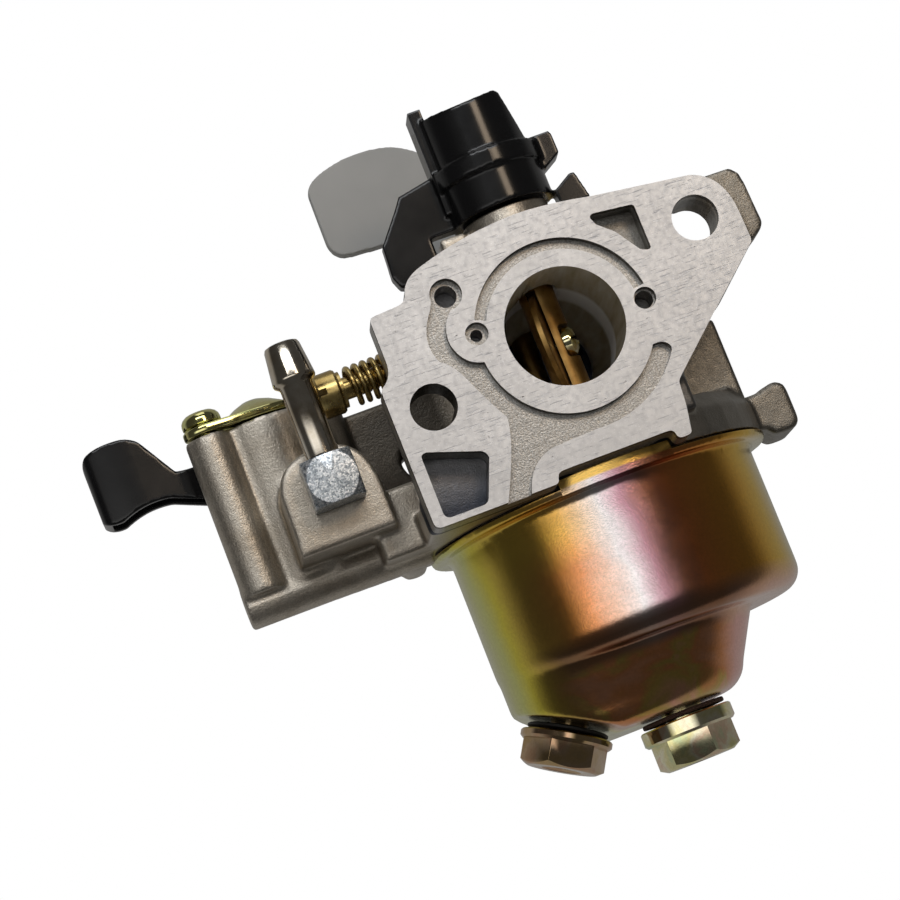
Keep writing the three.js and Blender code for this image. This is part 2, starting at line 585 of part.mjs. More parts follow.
function fuelInletBlock() {
  const half = 3.38;
  const face = PAD_Y - 5.4;
  const back = PAD_Y - GAP;
  const square = block(INLET.x - half, INLET.x + half, face, back, INLET.z - 3.15, INLET.z + 3.15);
  const chamfer = solid(new THREE.LatheGeometry([[0, face - 0.1], [3.5, face - 0.1], [5.6, face + 1.6],
    [5.6, back + 1], [0, back + 1]].map(([r, y]) => new THREE.Vector2(r, y)), ROUND)
    .translate(INLET.x, 0, INLET.z));
  return join(square.intersect(chamfer), rodY(INLET.x, INLET.z, face + 2, PAD_Y + 5.2, 2.1));
}

function fuelNipple() {
  const foot = INLET.z + 3.15 + GAP;
  return turned(INLET.x, PAD_Y - 2.6, [[1.2, foot], [2.2, foot], [2.2, 6.2], [2.9, 6.6], [2.35, 11.5], [2.0, 11.7],
    [1.2, 11.7], [1.2, foot]], FINE);
}

// ---- adjusting screws ----------------------------------------------------------------------
function mixtureScrew() {
  const body = turnedX(PILOT.y, PILOT.z, [[0, -32.0], [2.5, -32.0], [3.0, -31.4], [3.0, -28.9], [2.6, -28.4],
    [1.5, -28.3], [1.5, -12], [0.7, -9], [0, -7.6]], FINE);
  return cut(body, block(-33, -30.8, PILOT.y - 4, PILOT.y + 4, PILOT.z - 0.45, PILOT.z + 0.45));
}

function stopScrew() {
  const body = turnedX(STOP.y, STOP.z, [[0, -4.1], [1.0, -4.1], [1.5, -3.5], [1.5, 9.2], [2.8, 9.3], [2.8, 12.0],
    [2.4, 12.4], [0, 12.4]], FINE);
  return cut(body, block(11.4, 13, STOP.y - 4, STOP.y + 4, STOP.z - 0.4, STOP.z + 0.4));
}

// A coil spring along X, with its two end turns closed up.
class Helix extends THREE.Curve {
  constructor(x0, x1, radius, turns, y, z) {
    super();
    Object.assign(this, { x0, x1, radius, turns, y, z });
  }

  getPoint(t, target = new THREE.Vector3()) {
    const angle = 2 * Math.PI * this.turns * t;
    return target.set(this.x0 + (this.x1 - this.x0) * t, this.y + this.radius * Math.cos(angle),
      this.z + this.radius * Math.sin(angle));
  }
}

function coilSpring(x0, x1, radius, wire, turns, y, z) {
  const path = new Helix(x0 + wire, x1 - wire, radius, turns, y, z);
  const section = new THREE.Shape().absarc(0, 0, wire, 0, 2 * Math.PI, false);
  return solid(new THREE.ExtrudeGeometry(section, { steps: turns * 14, curveSegments: 3, extrudePath: path }));
}

// ---- float, needle and jets ----------------------------------------------------------------
function floatBody() {
  const top = -26;
  const ring = ringZ(0, BOWL_Y, -34.4, top, 8.3, 18.2, 40);
  const tongue = block(-3.2, 3.2, BOWL_Y + 8.6, FLOAT_PIN.y, top - 0.4, -20.4);
  const knuckle = rodX(FLOAT_PIN.y, FLOAT_PIN.z, -3.2, 3.2, 1.8, 16);
  return cut(join(ring, tongue, knuckle), rodX(FLOAT_PIN.y, FLOAT_PIN.z, -6, 6, 1.0, 12));
}

function floatNeedle() {
  return turned(0, NEEDLE_Y, [[0, -19.8], [1.15, -19.8], [1.15, -14.8], [0.3, -13.0], [0, -13.0]], 16);
}

function emulsionTube() {
  const tube = ringZ(0, BOWL_Y, -38.1, -4.4, 1.1, 2.1, 16);
  const bleeds = [-34, -30, -26, -22].map((z) => rodX(BOWL_Y, z, -4, 4, 0.5, 8));
  return cut(tube, ...bleeds);
}

function mainJet() {
  const body = ringZ(0, BOWL_Y, -42.8, -38.6, 0.6, 2.8, 20);
  return cut(body, block(-4, 4, BOWL_Y - 0.4, BOWL_Y + 0.4, -43.4, -42));
}

function pilotJet() {
  const { x, y, foot } = PILOT_JET;
  return cut(ringZ(x, y, foot, 11.8, 0.4, 1.9, 16), block(x - 3, x + 3, y - 0.3, y + 0.3, 11, 13));
}

// ---- assembly ------------------------------------------------------------------------------
const FINISH = {
  castAluminium: { color: 0xb4b2aa, roughness: 0.5, metalness: 0.8 },
  passivatedSteel: { color: 0xc6a04c, roughness: 0.3, metalness: 1.0 },
  zincSteel: { color: 0xc9c9c6, roughness: 0.3, metalness: 1.0 },
  brass: { color: 0xb98b3c, roughness: 0.3, metalness: 1.0 },
  blackPlastic: { color: 0x111111, roughness: 0.3, metalness: 0.0 },
  greyPlastic: { color: 0x8f8f8b, roughness: 0.6, metalness: 0.0 },
  rubber: { color: 0x1a1a1a, roughness: 0.8, metalness: 0.0 },
  floatPlastic: { color: 0x2a2a28, roughness: 0.6, metalness: 0.0 },
  washer: { color: 0xa8703c, roughness: 0.6, metalness: 0.3 },
};

function piece(name, finish, manifold) {
  const mesh = new THREE.Mesh(geometryOf(manifold), new THREE.MeshStandardMaterial(FINISH[finish]));
  mesh.name = name;
  return mesh;
}

function throttleGroup() {
  const group = new THREE.Group();
  group.position.set(0, THROTTLE_Y, 0);
  group.rotation.z = THREE.MathUtils.degToRad(THROTTLE_REST);
  group.add(
    piece('throttle_shaft', 'zincSteel', plateShaft(THROTTLE_SHAFT_R, -9.8, 25.4, BORE_R)),
    piece('throttle_plate', 'brass', butterfly(BORE_R - 0.3)),
    piece('throttle_plate_screw', 'brass', butterflyScrew()),
  );
  return group;
}

function throttleLeverGroup() {
  const group = new THREE.Group();
  group.position.set(0, THROTTLE_Y, 0);
  group.add(piece('throttle_lever', 'blackPlastic', throttleLever()));
  return group;
}

function chokeGroup() {
  const group = new THREE.Group();
  const closed = new THREE.Group();
  closed.rotation.z = Math.PI / 2;
  closed.add(
    piece('choke_shaft', 'zincSteel', plateShaft(CHOKE_SHAFT_R, -10.6, 19.1, CHOKE_BORE_R)),
    piece('choke_plate', 'zincSteel', butterfly(CHOKE_BORE_R - 0.3)),
    piece('choke_plate_screw', 'brass', butterflyScrew()),
  );
  group.position.set(0, CHOKE_Y, 0);
  group.add(closed, piece('choke_lever', 'greyPlastic', chokeLever()));
  return group;
}

function fuelTapGroup() {
  const group = new THREE.Group();
  group.position.set(VALVE.x, VALVE.y, 0);
  group.add(
    piece('fuel_tap_lever', 'blackPlastic', fuelTapLever()),
    piece('fuel_tap_seal', 'rubber', ringZ(0, 0, 0, 0.9, 1.6, 6.8)),
    piece('fuel_tap_spring', 'zincSteel', ringZ(0, 0, 5.1, 6.0, 3.6, 6.2)),
  );
  return group;
}

const carburetor = new THREE.Group();
carburetor.name = 'carburetor';
carburetor.add(
  piece('body_casting', 'castAluminium', bodyCasting()),
  piece('float_bowl', 'passivatedSteel', floatBowl()),
  piece('bowl_gasket', 'rubber', bowlGasket()),
  piece('bowl_bolt', 'passivatedSteel', bowlBolt()),
  piece('bowl_bolt_washer', 'washer', ringZ(0, BOWL_Y, SUMP_Z - 0.9, SUMP_Z - GAP, 3.2, 5.8)),
  piece('drain_bolt', 'passivatedSteel', drainBolt()),
  piece('drain_gasket', 'rubber', drainGasket()),
  piece('throttle_seal', 'rubber', ringZ(0, THROTTLE_Y, BOSS_TOP - 1.3, BOSS_TOP - 0.1, 2.7, 4.0)),
  throttleGroup(),
  throttleLeverGroup(),
  chokeGroup(),
  fuelTapGroup(),
  piece('fuel_tap_cover', 'passivatedSteel', fuelTapCover()),
  piece('cover_screw_left', 'passivatedSteel', panScrew(SCREW_LEFT)),
  piece('cover_screw_right', 'passivatedSteel', panScrew(SCREW_RIGHT)),
  piece('fuel_inlet_block', 'zincSteel', fuelInletBlock()),
  piece('fuel_nipple', 'zincSteel', fuelNipple()),
  piece('mixture_screw', 'brass', mixtureScrew()),
  piece('mixture_screw_spring', 'brass', coilSpring(-27.9, -21.3, 2.4, 0.4, 5, PILOT.y, PILOT.z)),
  piece('throttle_stop_screw', 'brass', stopScrew()),
  piece('throttle_stop_spring', 'zincSteel', coilSpring(5.5, 9.0, 2.2, 0.35, 3, STOP.y, STOP.z)),
  piece('float', 'floatPlastic', floatBody()),
  piece('float_pin', 'zincSteel', rodX(FLOAT_PIN.y, FLOAT_PIN.z, -6.4, 6.4, 0.7, 12)),
  piece('float_needle', 'zincSteel', floatNeedle()),
  piece('needle_seat', 'brass', ringZ(0, NEEDLE_Y, -14.6, -11.6, 1.5, 2.6, FINE)),
  piece('emulsion_tube', 'brass', emulsionTube()),
  piece('main_jet', 'brass', mainJet()),
  piece('pilot_jet', 'brass', pilotJet()),
);

export default carburetor;
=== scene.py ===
import math

import bmesh
import bpy
from mathutils import Matrix, Vector


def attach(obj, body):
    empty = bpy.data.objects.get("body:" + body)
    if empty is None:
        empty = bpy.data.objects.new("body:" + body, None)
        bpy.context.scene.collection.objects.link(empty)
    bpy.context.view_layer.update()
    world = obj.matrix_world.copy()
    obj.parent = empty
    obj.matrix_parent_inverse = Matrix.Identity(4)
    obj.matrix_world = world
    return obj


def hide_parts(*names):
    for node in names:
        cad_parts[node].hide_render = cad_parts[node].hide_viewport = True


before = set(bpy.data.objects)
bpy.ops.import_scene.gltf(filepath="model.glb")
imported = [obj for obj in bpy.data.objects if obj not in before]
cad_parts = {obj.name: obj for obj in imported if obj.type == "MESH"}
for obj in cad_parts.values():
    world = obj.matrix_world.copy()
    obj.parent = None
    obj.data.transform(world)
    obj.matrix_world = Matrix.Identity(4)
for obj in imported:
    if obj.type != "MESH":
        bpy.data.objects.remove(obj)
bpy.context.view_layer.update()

MM = 0.001
FINE = 96                 # segments of a large turned surface
SMALL = 48                # segments of a small turned surface
WINDOW_LIGHT = 1.25
FLOOR_R = 0.9             # the floor ends below the edge of the picture
FLOOR_Z = -0.14

BORE_R = 7.8
VENTURI_R = 6.2
CHOKE_BORE_R = 9.2
LENGTH = 50
THROTTLE_Y = 12
THROTTLE_REST = -16
CHOKE_Y = 39
BOWL_Y = 28.3
BOWL_R = 21.8
LIP_R = 24.3
LIP_TOP = -18.85
LEDGE_Z = -39.8
SUMP_Z = -49.5
SUMP_R = 18.76
SUMP_X = SUMP_R - BOWL_R + 0.15
SUMP_SHOULDER = -36.5
SUMP_TAPER = 0.29
DRAIN_TILT = 31
DRAIN = (-15.2, BOWL_Y - 1, -46.2)
VALVE = (-39.5, 27)
TAP_TOP = 6.3
SCREW_LEFT = (-46.9, 20.4)
SCREW_RIGHT = (-31.5, 32.8)
PAD_Y = 9
INLET = (-34.3, -7.2)
PILOT = (12, 4.5)
STOP = (25, 15.4)
STUD_R = 3.05
STUDS = [(0.73 + side * 21 * math.cos(math.radians(15.7)), 1.7 + side * 21 * math.sin(math.radians(15.7)))
         for side in (-1, 1)]


# ---- mesh tools ---------------------------------------------------------------------------------
def new_object(name, bm):
    bmesh.ops.recalc_face_normals(bm, faces=bm.faces)
    mesh = bpy.data.meshes.new(name)
    bm.to_mesh(mesh)
    bm.free()
    obj = bpy.data.objects.new(name, mesh)
    bpy.context.scene.collection.objects.link(obj)
    return obj


def lathe(profile, axis="Z", at=(0, 0, 0), segments=FINE, name="tool"):
    """Turns a closed profile of (radius, height) pairs, in mm, about an axis through the point at."""
    bm = bmesh.new()
    rings = []
    for radius, height in profile:
        if radius < 1e-6:
            rings.append([bm.verts.new((0, 0, height))])
            continue
        turn = [2 * math.pi * i / segments for i in range(segments)]
        rings.append([bm.verts.new((radius * math.cos(a), radius * math.sin(a), height)) for a in turn])
    for low, high in zip(rings, rings[1:] + rings[:1]):
        for i in range(segments):
            j = (i + 1) % segments
            corners = [low[i % len(low)], low[j % len(low)], high[j % len(high)], high[i % len(high)]]
            corners = list(dict.fromkeys(corners))
            if len(corners) > 2:
                bm.faces.new(corners)
    spin = {"Z": Matrix.Identity(4), "X": Matrix.Rotation(math.pi / 2, 4, "Y"),
            "Y": Matrix.Rotation(-math.pi / 2, 4, "X")}[axis]
    bmesh.ops.transform(bm, matrix=Matrix.Scale(MM, 4) @ Matrix.Translation(at) @ spin, verts=bm.verts)
    return new_object(name, bm)


def rod(radius, low, high, axis="Z", at=(0, 0, 0), segments=SMALL):
    return lathe([(0, low), (radius, low), (radius, high), (0, high)], axis, at, segments)


def prism(points, low, high, axis="Y"):
    """Extrudes an outline, in mm: (x, z) pairs along Y, or (x, y) pairs along Z."""
    bm = bmesh.new()
    put = (lambda a, b, h: (a, h, b)) if axis == "Y" else (lambda a, b, h: (a, b, h))
    ends = [[bm.verts.new(put(a, b, h)) for a, b in points] for h in (low, high)]
    bm.faces.new(ends[0])
    bm.faces.new(ends[1])
    for i in range(len(points)):
        j = (i + 1) % len(points)
        bm.faces.new([ends[0][i], ends[0][j], ends[1][j], ends[1][i]])
    bmesh.ops.transform(bm, matrix=Matrix.Scale(MM, 4), verts=bm.verts)
    return new_object("tool", bm)


def box(x0, x1, y0, y1, z0, z1):
    return prism([(x0, z0), (x1, z0), (x1, z1), (x0, z1)], y0, y1)


def line_and_curves(start, *steps, pieces=10):
    """An outline from points; a step of four numbers is a curve's control point and its end."""
    points = [start]
    for step in steps:
        if len(step) == 2:
            points.append(step)
            continue
        (x0, y0), (cx, cy, x1, y1) = points[-1], step
        for i in range(1, pieces + 1):
            t = i / pieces
            points.append(((1 - t) ** 2 * x0 + 2 * t * (1 - t) * cx + t * t * x1,
                           (1 - t) ** 2 * y0 + 2 * t * (1 - t) * cy + t * t * y1))
    return points


def arc(radius, start, end, at=(0, 0), pieces=40):
    angles = [math.radians(start + (end - start) * i / pieces) for i in range(pieces + 1)]
    return [(at[0] + radius * math.cos(a), at[1] + radius * math.sin(a)) for a in angles]


def hull_outline(circles, pieces=64):
    """The outline of a band stretched round circles (x, y, radius)."""
    points = sorted(set((x + r * math.cos(2 * math.pi * i / pieces),
                         y + r * math.sin(2 * math.pi * i / pieces))
                        for x, y, r in circles for i in range(pieces)))

    def chain(row):
        kept = []
        for p in row:
            while len(kept) > 1 and ((kept[-1][0] - kept[-2][0]) * (p[1] - kept[-2][1])
                                     - (kept[-1][1] - kept[-2][1]) * (p[0] - kept[-2][0])) <= 1e-9:
                kept.pop()
            kept.append(p)
        return kept[:-1]
    return chain(points) + chain(points[::-1])


def bake(obj):
    """Turns the modifiers of an object into its mesh."""
    bpy.context.view_layer.update()
    seen = obj.evaluated_get(bpy.context.evaluated_depsgraph_get())
    mesh = bpy.data.meshes.new_from_object(seen)
    old = obj.data
    obj.modifiers.clear()
    obj.data = mesh
    if not old.users:
        bpy.data.meshes.remove(old)
    return obj


def combine(obj, tools, operation):
    for tool in tools:
        step = obj.modifiers.new("combine", "BOOLEAN")
        step.object = tool
        step.operation = operation
        step.solver = "MANIFOLD"
        bake(obj)
        bpy.data.objects.remove(tool)
    return obj


def join(first, *others):
    return combine(first, others, "UNION")


def cut(whole, *tools):
    return combine(whole, tools, "DIFFERENCE")


def common(whole, tool):
    return combine(whole, [tool], "INTERSECT")


def soften(obj, voxel, rounds, strength=0.5):
    """Gives a sharp form the small radii of a cast, moulded or pressed one."""
    remesh = obj.modifiers.new("remesh", "REMESH")
    remesh.mode = "VOXEL"
    remesh.voxel_size = voxel * MM
    relax = obj.modifiers.new("relax", "SMOOTH")
    relax.factor = strength
    relax.iterations = rounds
    return bake(obj)


def break_edges(obj, width, segments=3, angle=30):
    bevel = obj.modifiers.new("bevel", "BEVEL")
    bevel.width = width * MM
    bevel.segments = segments
    bevel.limit_method = "ANGLE"
    bevel.angle_limit = math.radians(angle)
    bevel.harden_normals = False
    return bake(obj)


def move(obj, matrix):
    obj.data.transform(matrix)
    return obj


def finish_piece(obj, name, material, body, slot, *nodes, sharp=35):
    obj.name = name
    obj.data.name = name
    obj.data.materials.clear()
    obj.data.materials.append(material)
    obj.data.shade_smooth()
    obj.data.set_sharp_from_angle(angle=math.radians(sharp))
    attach(obj, body)
    if nodes:
        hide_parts(*nodes)
    return obj


# ---- materials ----------------------------------------------------------------------------------
class Nodes:
    """Builds a node tree with short calls."""

    def __init__(self, name):
        self.material = bpy.data.materials.new(name)
        self.material.use_nodes = True
        self.tree = self.material.node_tree
        self.shader = self.tree.nodes["Principled BSDF"]
        coordinates = self.tree.nodes.new("ShaderNodeTexCoord")
        self.place = coordinates.outputs["Object"]
        self.normal = coordinates.outputs["Normal"]

    def link(self, source, target):
        self.tree.links.new(source, target)

    def put(self, socket, value):
        if isinstance(value, bpy.types.NodeSocket):
            self.link(value, socket)
        else:
            socket.default_value = value

    def math(self, operation, a, b=0.0, c=0.0, clamp=False):
        node = self.tree.nodes.new("ShaderNodeMath")
        node.operation = operation
        node.use_clamp = clamp
        for socket, value in zip(node.inputs, (a, b, c)):
            self.put(socket, value)
        return node.outputs[0]

    def xyz(self, vector):
        node = self.tree.nodes.new("ShaderNodeSeparateXYZ")
        self.link(vector, node.inputs[0])
        return node.outputs

    def stretch(self, scale, vector=None, turn=(0, 0, 0)):
        node = self.tree.nodes.new("ShaderNodeMapping")
        self.link(vector or self.place, node.inputs["Vector"])
        node.inputs["Scale"].default_value = scale
        node.inputs["Rotation"].default_value = turn
        return node.outputs[0]

    def noise(self, scale, detail=2.0, rough=0.5, vector=None, distort=0.0):
        node = self.tree.nodes.new("ShaderNodeTexNoise")
        self.link(vector or self.place, node.inputs["Vector"])
        node.inputs["Scale"].default_value = scale
        node.inputs["Detail"].default_value = detail
        node.inputs["Roughness"].default_value = rough
        node.inputs["Distortion"].default_value = distort
        return node.outputs[0]

    def cells(self, scale, vector=None, feature="F1"):
        node = self.tree.nodes.new("ShaderNodeTexVoronoi")
        node.feature = feature
        self.link(vector or self.place, node.inputs["Vector"])
        node.inputs["Scale"].default_value = scale
        return node.outputs

    def ramp(self, value, *stops):
        node = self.tree.nodes.new("ShaderNodeValToRGB")
        self.put(node.inputs[0], value)
        marks = node.color_ramp.elements
        while len(marks) < len(stops):
            marks.new(0.5)
        for mark, (at, colour) in zip(marks, stops):
            mark.position = at
            mark.color = (*colour, 1) if isinstance(colour, tuple) else (colour, colour, colour, 1)
        return node.outputs[0]

    def span(self, value, low, high, to_low=0.0, to_high=1.0):
        node = self.tree.nodes.new("ShaderNodeMapRange")
        self.put(node.inputs["Value"], value)
        for label, number in (("From Min", low), ("From Max", high), ("To Min", to_low),
                              ("To Max", to_high)):
            self.put(node.inputs[label], number)
        return node.outputs[0]

    def mix(self, factor, a, b, blend="MIX"):
        node = self.tree.nodes.new("ShaderNodeMix")
        node.data_type = "RGBA"
        node.blend_type = blend
        self.put(node.inputs["Factor"], factor)
        for socket, value in ((node.inputs[6], a), (node.inputs[7], b)):
            if isinstance(value, tuple):
                value = (*value, 1)
            self.put(socket, value)
        return node.outputs[2]

    def bump(self, height, distance, strength=1.0, after=None):
        node = self.tree.nodes.new("ShaderNodeBump")
        node.inputs["Distance"].default_value = distance * MM
        node.inputs["Strength"].default_value = strength
        self.link(height, node.inputs["Height"])
        if after is not None:
            self.link(after, node.inputs["Normal"])
        return node.outputs[0]

    def done(self, colour, roughness, metallic=1.0, normal=None, **plain):
        if isinstance(colour, tuple):
            colour = (*colour, 1)
        self.put(self.shader.inputs["Base Color"], colour)
        self.put(self.shader.inputs["Roughness"], roughness)
        self.put(self.shader.inputs["Metallic"], metallic)
        if normal is not None:
            self.link(normal, self.shader.inputs["Normal"])
        for label, value in plain.items():
            self.shader.inputs[label.replace("_", " ")].default_value = value
        return self.material


def cast_aluminium():
    """Grainy die-cast skin; the flange face is machined and scratched; the bore is smooth."""
    n = Nodes("cast_aluminium")
    x, y, z = n.xyz(n.place)
    radius = n.math("SQRT", n.math("ADD", n.math("MULTIPLY", x, x), n.math("MULTIPLY", z, z)))
    machined = n.math("LESS_THAN", y, 0.00004)
    bored = n.math("LESS_THAN", radius, 0.0093)
    bored = n.math("MULTIPLY", bored, n.math("SUBTRACT", 1.0, machined))
    rough_cast = n.math("MULTIPLY", n.math("LESS_THAN", y, 0.0056), n.math("GREATER_THAN", y, 0.0011))
    rough_cast = n.math("MULTIPLY", rough_cast, n.math("LESS_THAN", x, 0.0225))
    grain = n.noise(4200, 2, 0.6)
    clumps = n.noise(900, 3, 0.6)
    stains = n.noise(150, 4, 0.6)
    speck = n.math("POWER", n.noise(5200, 1, 0.5), 6.0)
    # Cast skin
    cast = n.mix(n.span(stains, 0.35, 0.65), (0.50, 0.44, 0.36), (0.66, 0.61, 0.53))
    cast = n.mix(n.span(grain, 0.35, 0.7), n.mix(0.35, cast, (0.16, 0.14, 0.12)), cast)
    floor = n.mix(n.span(grain, 0.34, 0.66), (0.25, 0.245, 0.235), (0.53, 0.525, 0.515))
    cast = n.mix(n.math("MULTIPLY", rough_cast, 0.8), cast, floor)
    # Painted shade on the floors of the pockets that go farthest in: near black low down, grey higher up
    deep_pocket_shade = n.math("MULTIPLY", rough_cast, n.math("GREATER_THAN", y, 0.0045))
    cast = n.mix(deep_pocket_shade, cast, n.mix(n.span(z, -0.0165, -0.0105), (0.05, 0.055, 0.07), (0.26, 0.26, 0.27)))
    # Painted shade: the right-hand side of the casting, behind the flange face, is darkened
    shaded_right_side = n.math("MULTIPLY", n.span(x, 0.008, 0.014), n.span(y, 0.0015, 0.0025))
    cast = n.mix(n.math("MULTIPLY", shaded_right_side, 0.8), cast, (0.17, 0.16, 0.14))
    # Painted shade: the recess walls, the inside of the left stud hole and the pocket beside the fuel tap are
    # darkened to near black
    upright = n.math("LESS_THAN", n.math("ABSOLUTE", n.xyz(n.normal)[1]), 0.5)
    edge = n.math("MULTIPLY", upright, n.math("LESS_THAN", y, 0.0012))
    stud_x, stud_z = STUDS[0]
    hole = n.math("ADD", n.math("POWER", n.math("SUBTRACT", x, stud_x * MM), 2.0),
                  n.math("POWER", n.math("SUBTRACT", z, stud_z * MM), 2.0))
    hole = n.math("LESS_THAN", hole, (1.04 * STUD_R * MM) ** 2)
    pocket = n.math("MULTIPLY", n.span(x, -0.031, -0.0285), n.span(x, -0.0125, -0.0155))
    pocket = n.math("MULTIPLY", pocket, n.span(y, 0.0095, 0.015))
    pocket = n.math("MULTIPLY", pocket, n.span(z, -0.0105, -0.0075))
    painted_shade = n.math("MAXIMUM", n.math("MULTIPLY", edge, 0.75),
                  n.math("MAXIMUM", hole, n.math("MULTIPLY", pocket, 0.9)))
    cast = n.mix(painted_shade, cast, (0.045, 0.038, 0.03))
    # Machined face, with fine scratches and dark nicks
    flat = n.mix(n.span(stains, 0.3, 0.7), (0.66, 0.65, 0.645), (0.78, 0.77, 0.765))
    mottle = n.noise(1300, 5, 0.65)
    flat = n.mix(n.span(mottle, 0.45, 0.65, 0.0, 0.2), flat, (0.45, 0.44, 0.45))
    scratches = [n.span(n.noise(260, 2, 0.5, n.stretch((1, 0.1, 22), turn=(0, math.radians(tilt), 0))),
                        0.66, 0.70) for tilt in (12, 55, 100, 150)]
    lines = n.math("MAXIMUM", n.math("MAXIMUM", scratches[0], scratches[1]),
                   n.math("MAXIMUM", scratches[2], scratches[3]))
    nick_patch = n.span(n.noise(420, 3, 0.6), 0.54, 0.62)
    nicks = n.math("MULTIPLY",
                   n.span(n.noise(900, 4, 0.7, n.stretch((1, 0.2, 4), turn=(0, 0.5, 0))), 0.645, 0.675),
                   nick_patch)
    flat = n.mix(n.math("MULTIPLY", lines, 0.45, clamp=True), flat, (0.30, 0.30, 0.34))
    flat = n.mix(n.math("MULTIPLY", nicks, 0.75, clamp=True), flat, (0.16, 0.155, 0.16))
    flat = n.mix(n.span(speck, 0.06, 0.12, 0.0, 0.6), flat, (0.95, 0.95, 0.98))
    colour = n.mix(machined, cast, flat)
    streaks = n.span(n.noise(500, 3, 0.6, n.stretch((1, 0.12, 1))), 0.3, 0.7)
    wall = n.mix(streaks, (0.42, 0.35, 0.22), (0.66, 0.61, 0.50))
    # Painted reflection: a bright white ring on the bore wall, a little way in
    painted_reflection_ring = n.math("MULTIPLY", n.span(y, 0.0112, 0.0124), n.span(y, 0.0185, 0.0170))
    wall = n.mix(n.math("MULTIPLY", painted_reflection_ring, 0.9, clamp=True), wall, (1.0, 1.0, 1.0))
    colour = n.mix(bored, colour, wall)
    roughness = n.mix(machined, n.span(clumps, 0.2, 0.8, 0.32, 0.48), n.span(mottle, 0.3, 0.7, 0.46, 0.60))
    roughness = n.mix(bored, roughness, (0.26, 0.26, 0.26))
    fine = n.math("MULTIPLY", grain, n.math("SUBTRACT", 1.0, n.math("MAXIMUM", machined, bored)))
    skin = n.bump(fine, 0.08, 0.6)
    skin = n.bump(n.math("MULTIPLY", clumps, n.math("SUBTRACT", 1.0, machined)), 0.14, 0.35, skin)
    marks = n.math("ADD", n.math("MULTIPLY", lines, -0.3), n.math("MULTIPLY", nicks, -1.0))
    marks = n.math("ADD", marks, n.math("MULTIPLY", mottle, 0.5))
    skin = n.bump(n.math("MULTIPLY", marks, machined), 0.06, 0.55, skin)
    return n.done(colour, roughness, n.span(bored, 0, 1, 0.92, 0.35), skin)


def bowl_passivation_and_reflection():
    """Yellow zinc passivation whose tint runs through green, gold, pink and brown round the bowl; at the
    front these bands are partly painted reflection, with a near-white painted highlight.
    """
    n = Nodes("bowl_passivation_and_reflection")
    x, y, z = n.xyz(n.place)
    angle = n.math("ARCTAN2", x, n.math("SUBTRACT", BOWL_Y * MM, y))
    cloud = n.noise(95, 4, 0.55, distort=0.8)
    drift = n.math("MULTIPLY", n.math("SUBTRACT", cloud, 0.5), 0.22)
    lean = n.math("MULTIPLY", n.math("ADD", z, 0.03), 2.0)
    turn = n.math("ADD", n.math("DIVIDE", angle, 2 * math.pi), 0.5)
    turn = n.math("ADD", turn, n.math("MULTIPLY", drift, 0.12))
    # The ramp by angle is part passivation tint, part painted reflection: the near-white stop is a painted
    # highlight
    tint = n.ramp(n.math("ADD", turn, n.math("MULTIPLY", lean, 0.02)),
                  (0.0, (0.62, 0.60, 0.34)), (0.27, (0.62, 0.62, 0.31)), (0.30, (0.65, 0.66, 0.23)),
                  (0.322, (0.75, 0.65, 0.08)), (0.344, (0.75, 0.55, 0.10)), (0.389, (0.80, 0.45, 0.11)),
                  (0.411, (0.88, 0.36, 0.09)), (0.433, (0.95, 0.39, 0.16)), (0.456, (0.98, 0.64, 0.49)),
                  (0.478, (1.0, 0.95, 0.96)), (0.50, (0.84, 0.46, 0.56)), (0.522, (0.42, 0.20, 0.15)),
                  (0.544, (0.72, 0.24, 0.08)), (0.611, (0.78, 0.39, 0.06)), (0.655, (0.80, 0.53, 0.09)),
                  (0.70, (0.65, 0.57, 0.30)), (0.78, (0.58, 0.58, 0.40)), (1.0, (0.62, 0.60, 0.34)))
    front_left = n.math("MULTIPLY", n.span(angle, -1.1, -0.7), n.span(angle, -0.15, -0.42))
    high = n.math("MULTIPLY", n.span(z, -0.0285, -0.0235), front_left)
    tint = n.mix(n.math("MULTIPLY", high, 0.85), tint, n.mix(0.5, tint, (1.0, 0.78, 0.10)))
    # Painted shade: a dark brown band round the front of the rounded corner at the foot of the bowl wall
    painted_ledge_shade = n.math("MULTIPLY", n.span(angle, -1.0, -0.75), n.span(angle, 0.75, 0.45))
    painted_ledge_shade = n.math("MULTIPLY", n.span(z, -0.0362, -0.0382), painted_ledge_shade)
    tint = n.mix(n.math("MULTIPLY", painted_ledge_shade, 0.85), tint, (0.30, 0.16, 0.10))
    # Pink on the right of the same corner: partly passivation tint, partly painted highlight
    pink = n.math("MULTIPLY", n.span(z, -0.036, -0.039), n.span(angle, 0.35, 0.8))
    tint = n.mix(n.math("MULTIPLY", pink, 0.8), tint, (0.92, 0.60, 0.54))
    blot = n.noise(120, 3, 0.5, n.stretch((1, 1, 1.8)), distort=0.6)
    sump_tint = n.ramp(blot, (0.34, (0.84, 0.40, 0.22)), (0.48, (0.80, 0.33, 0.13)),
                       (0.58, (0.66, 0.46, 0.12)),
                       (0.70, (0.88, 0.44, 0.30)))
    sump_tint = n.mix(n.span(angle, 0.45, 0.75), sump_tint, (0.92, 0.52, 0.46))
    sump = n.math("MULTIPLY", n.span(z, -0.0405, -0.0415), n.span(angle, -0.95, -0.6))
    colour = n.mix(sump, tint, sump_tint)
    colour = n.mix(n.span(n.noise(2600, 3, 0.7), 0.35, 0.7, 0.18, 0.0), colour, (0.12, 0.10, 0.05))
    colour = n.mix(n.span(z, -0.0190, -0.0187), colour, (1.0, 0.64, 0.17))
    speck = n.noise(5200, 2, 0.6)
    normal = n.bump(speck, 0.016, 0.8)
    normal = n.bump(n.noise(420, 3, 0.6), 0.02, 0.05, normal)
    return n.done(colour, n.span(n.noise(300, 3, 0.6), 0.3, 0.7, 0.16, 0.22), 1.0, normal)


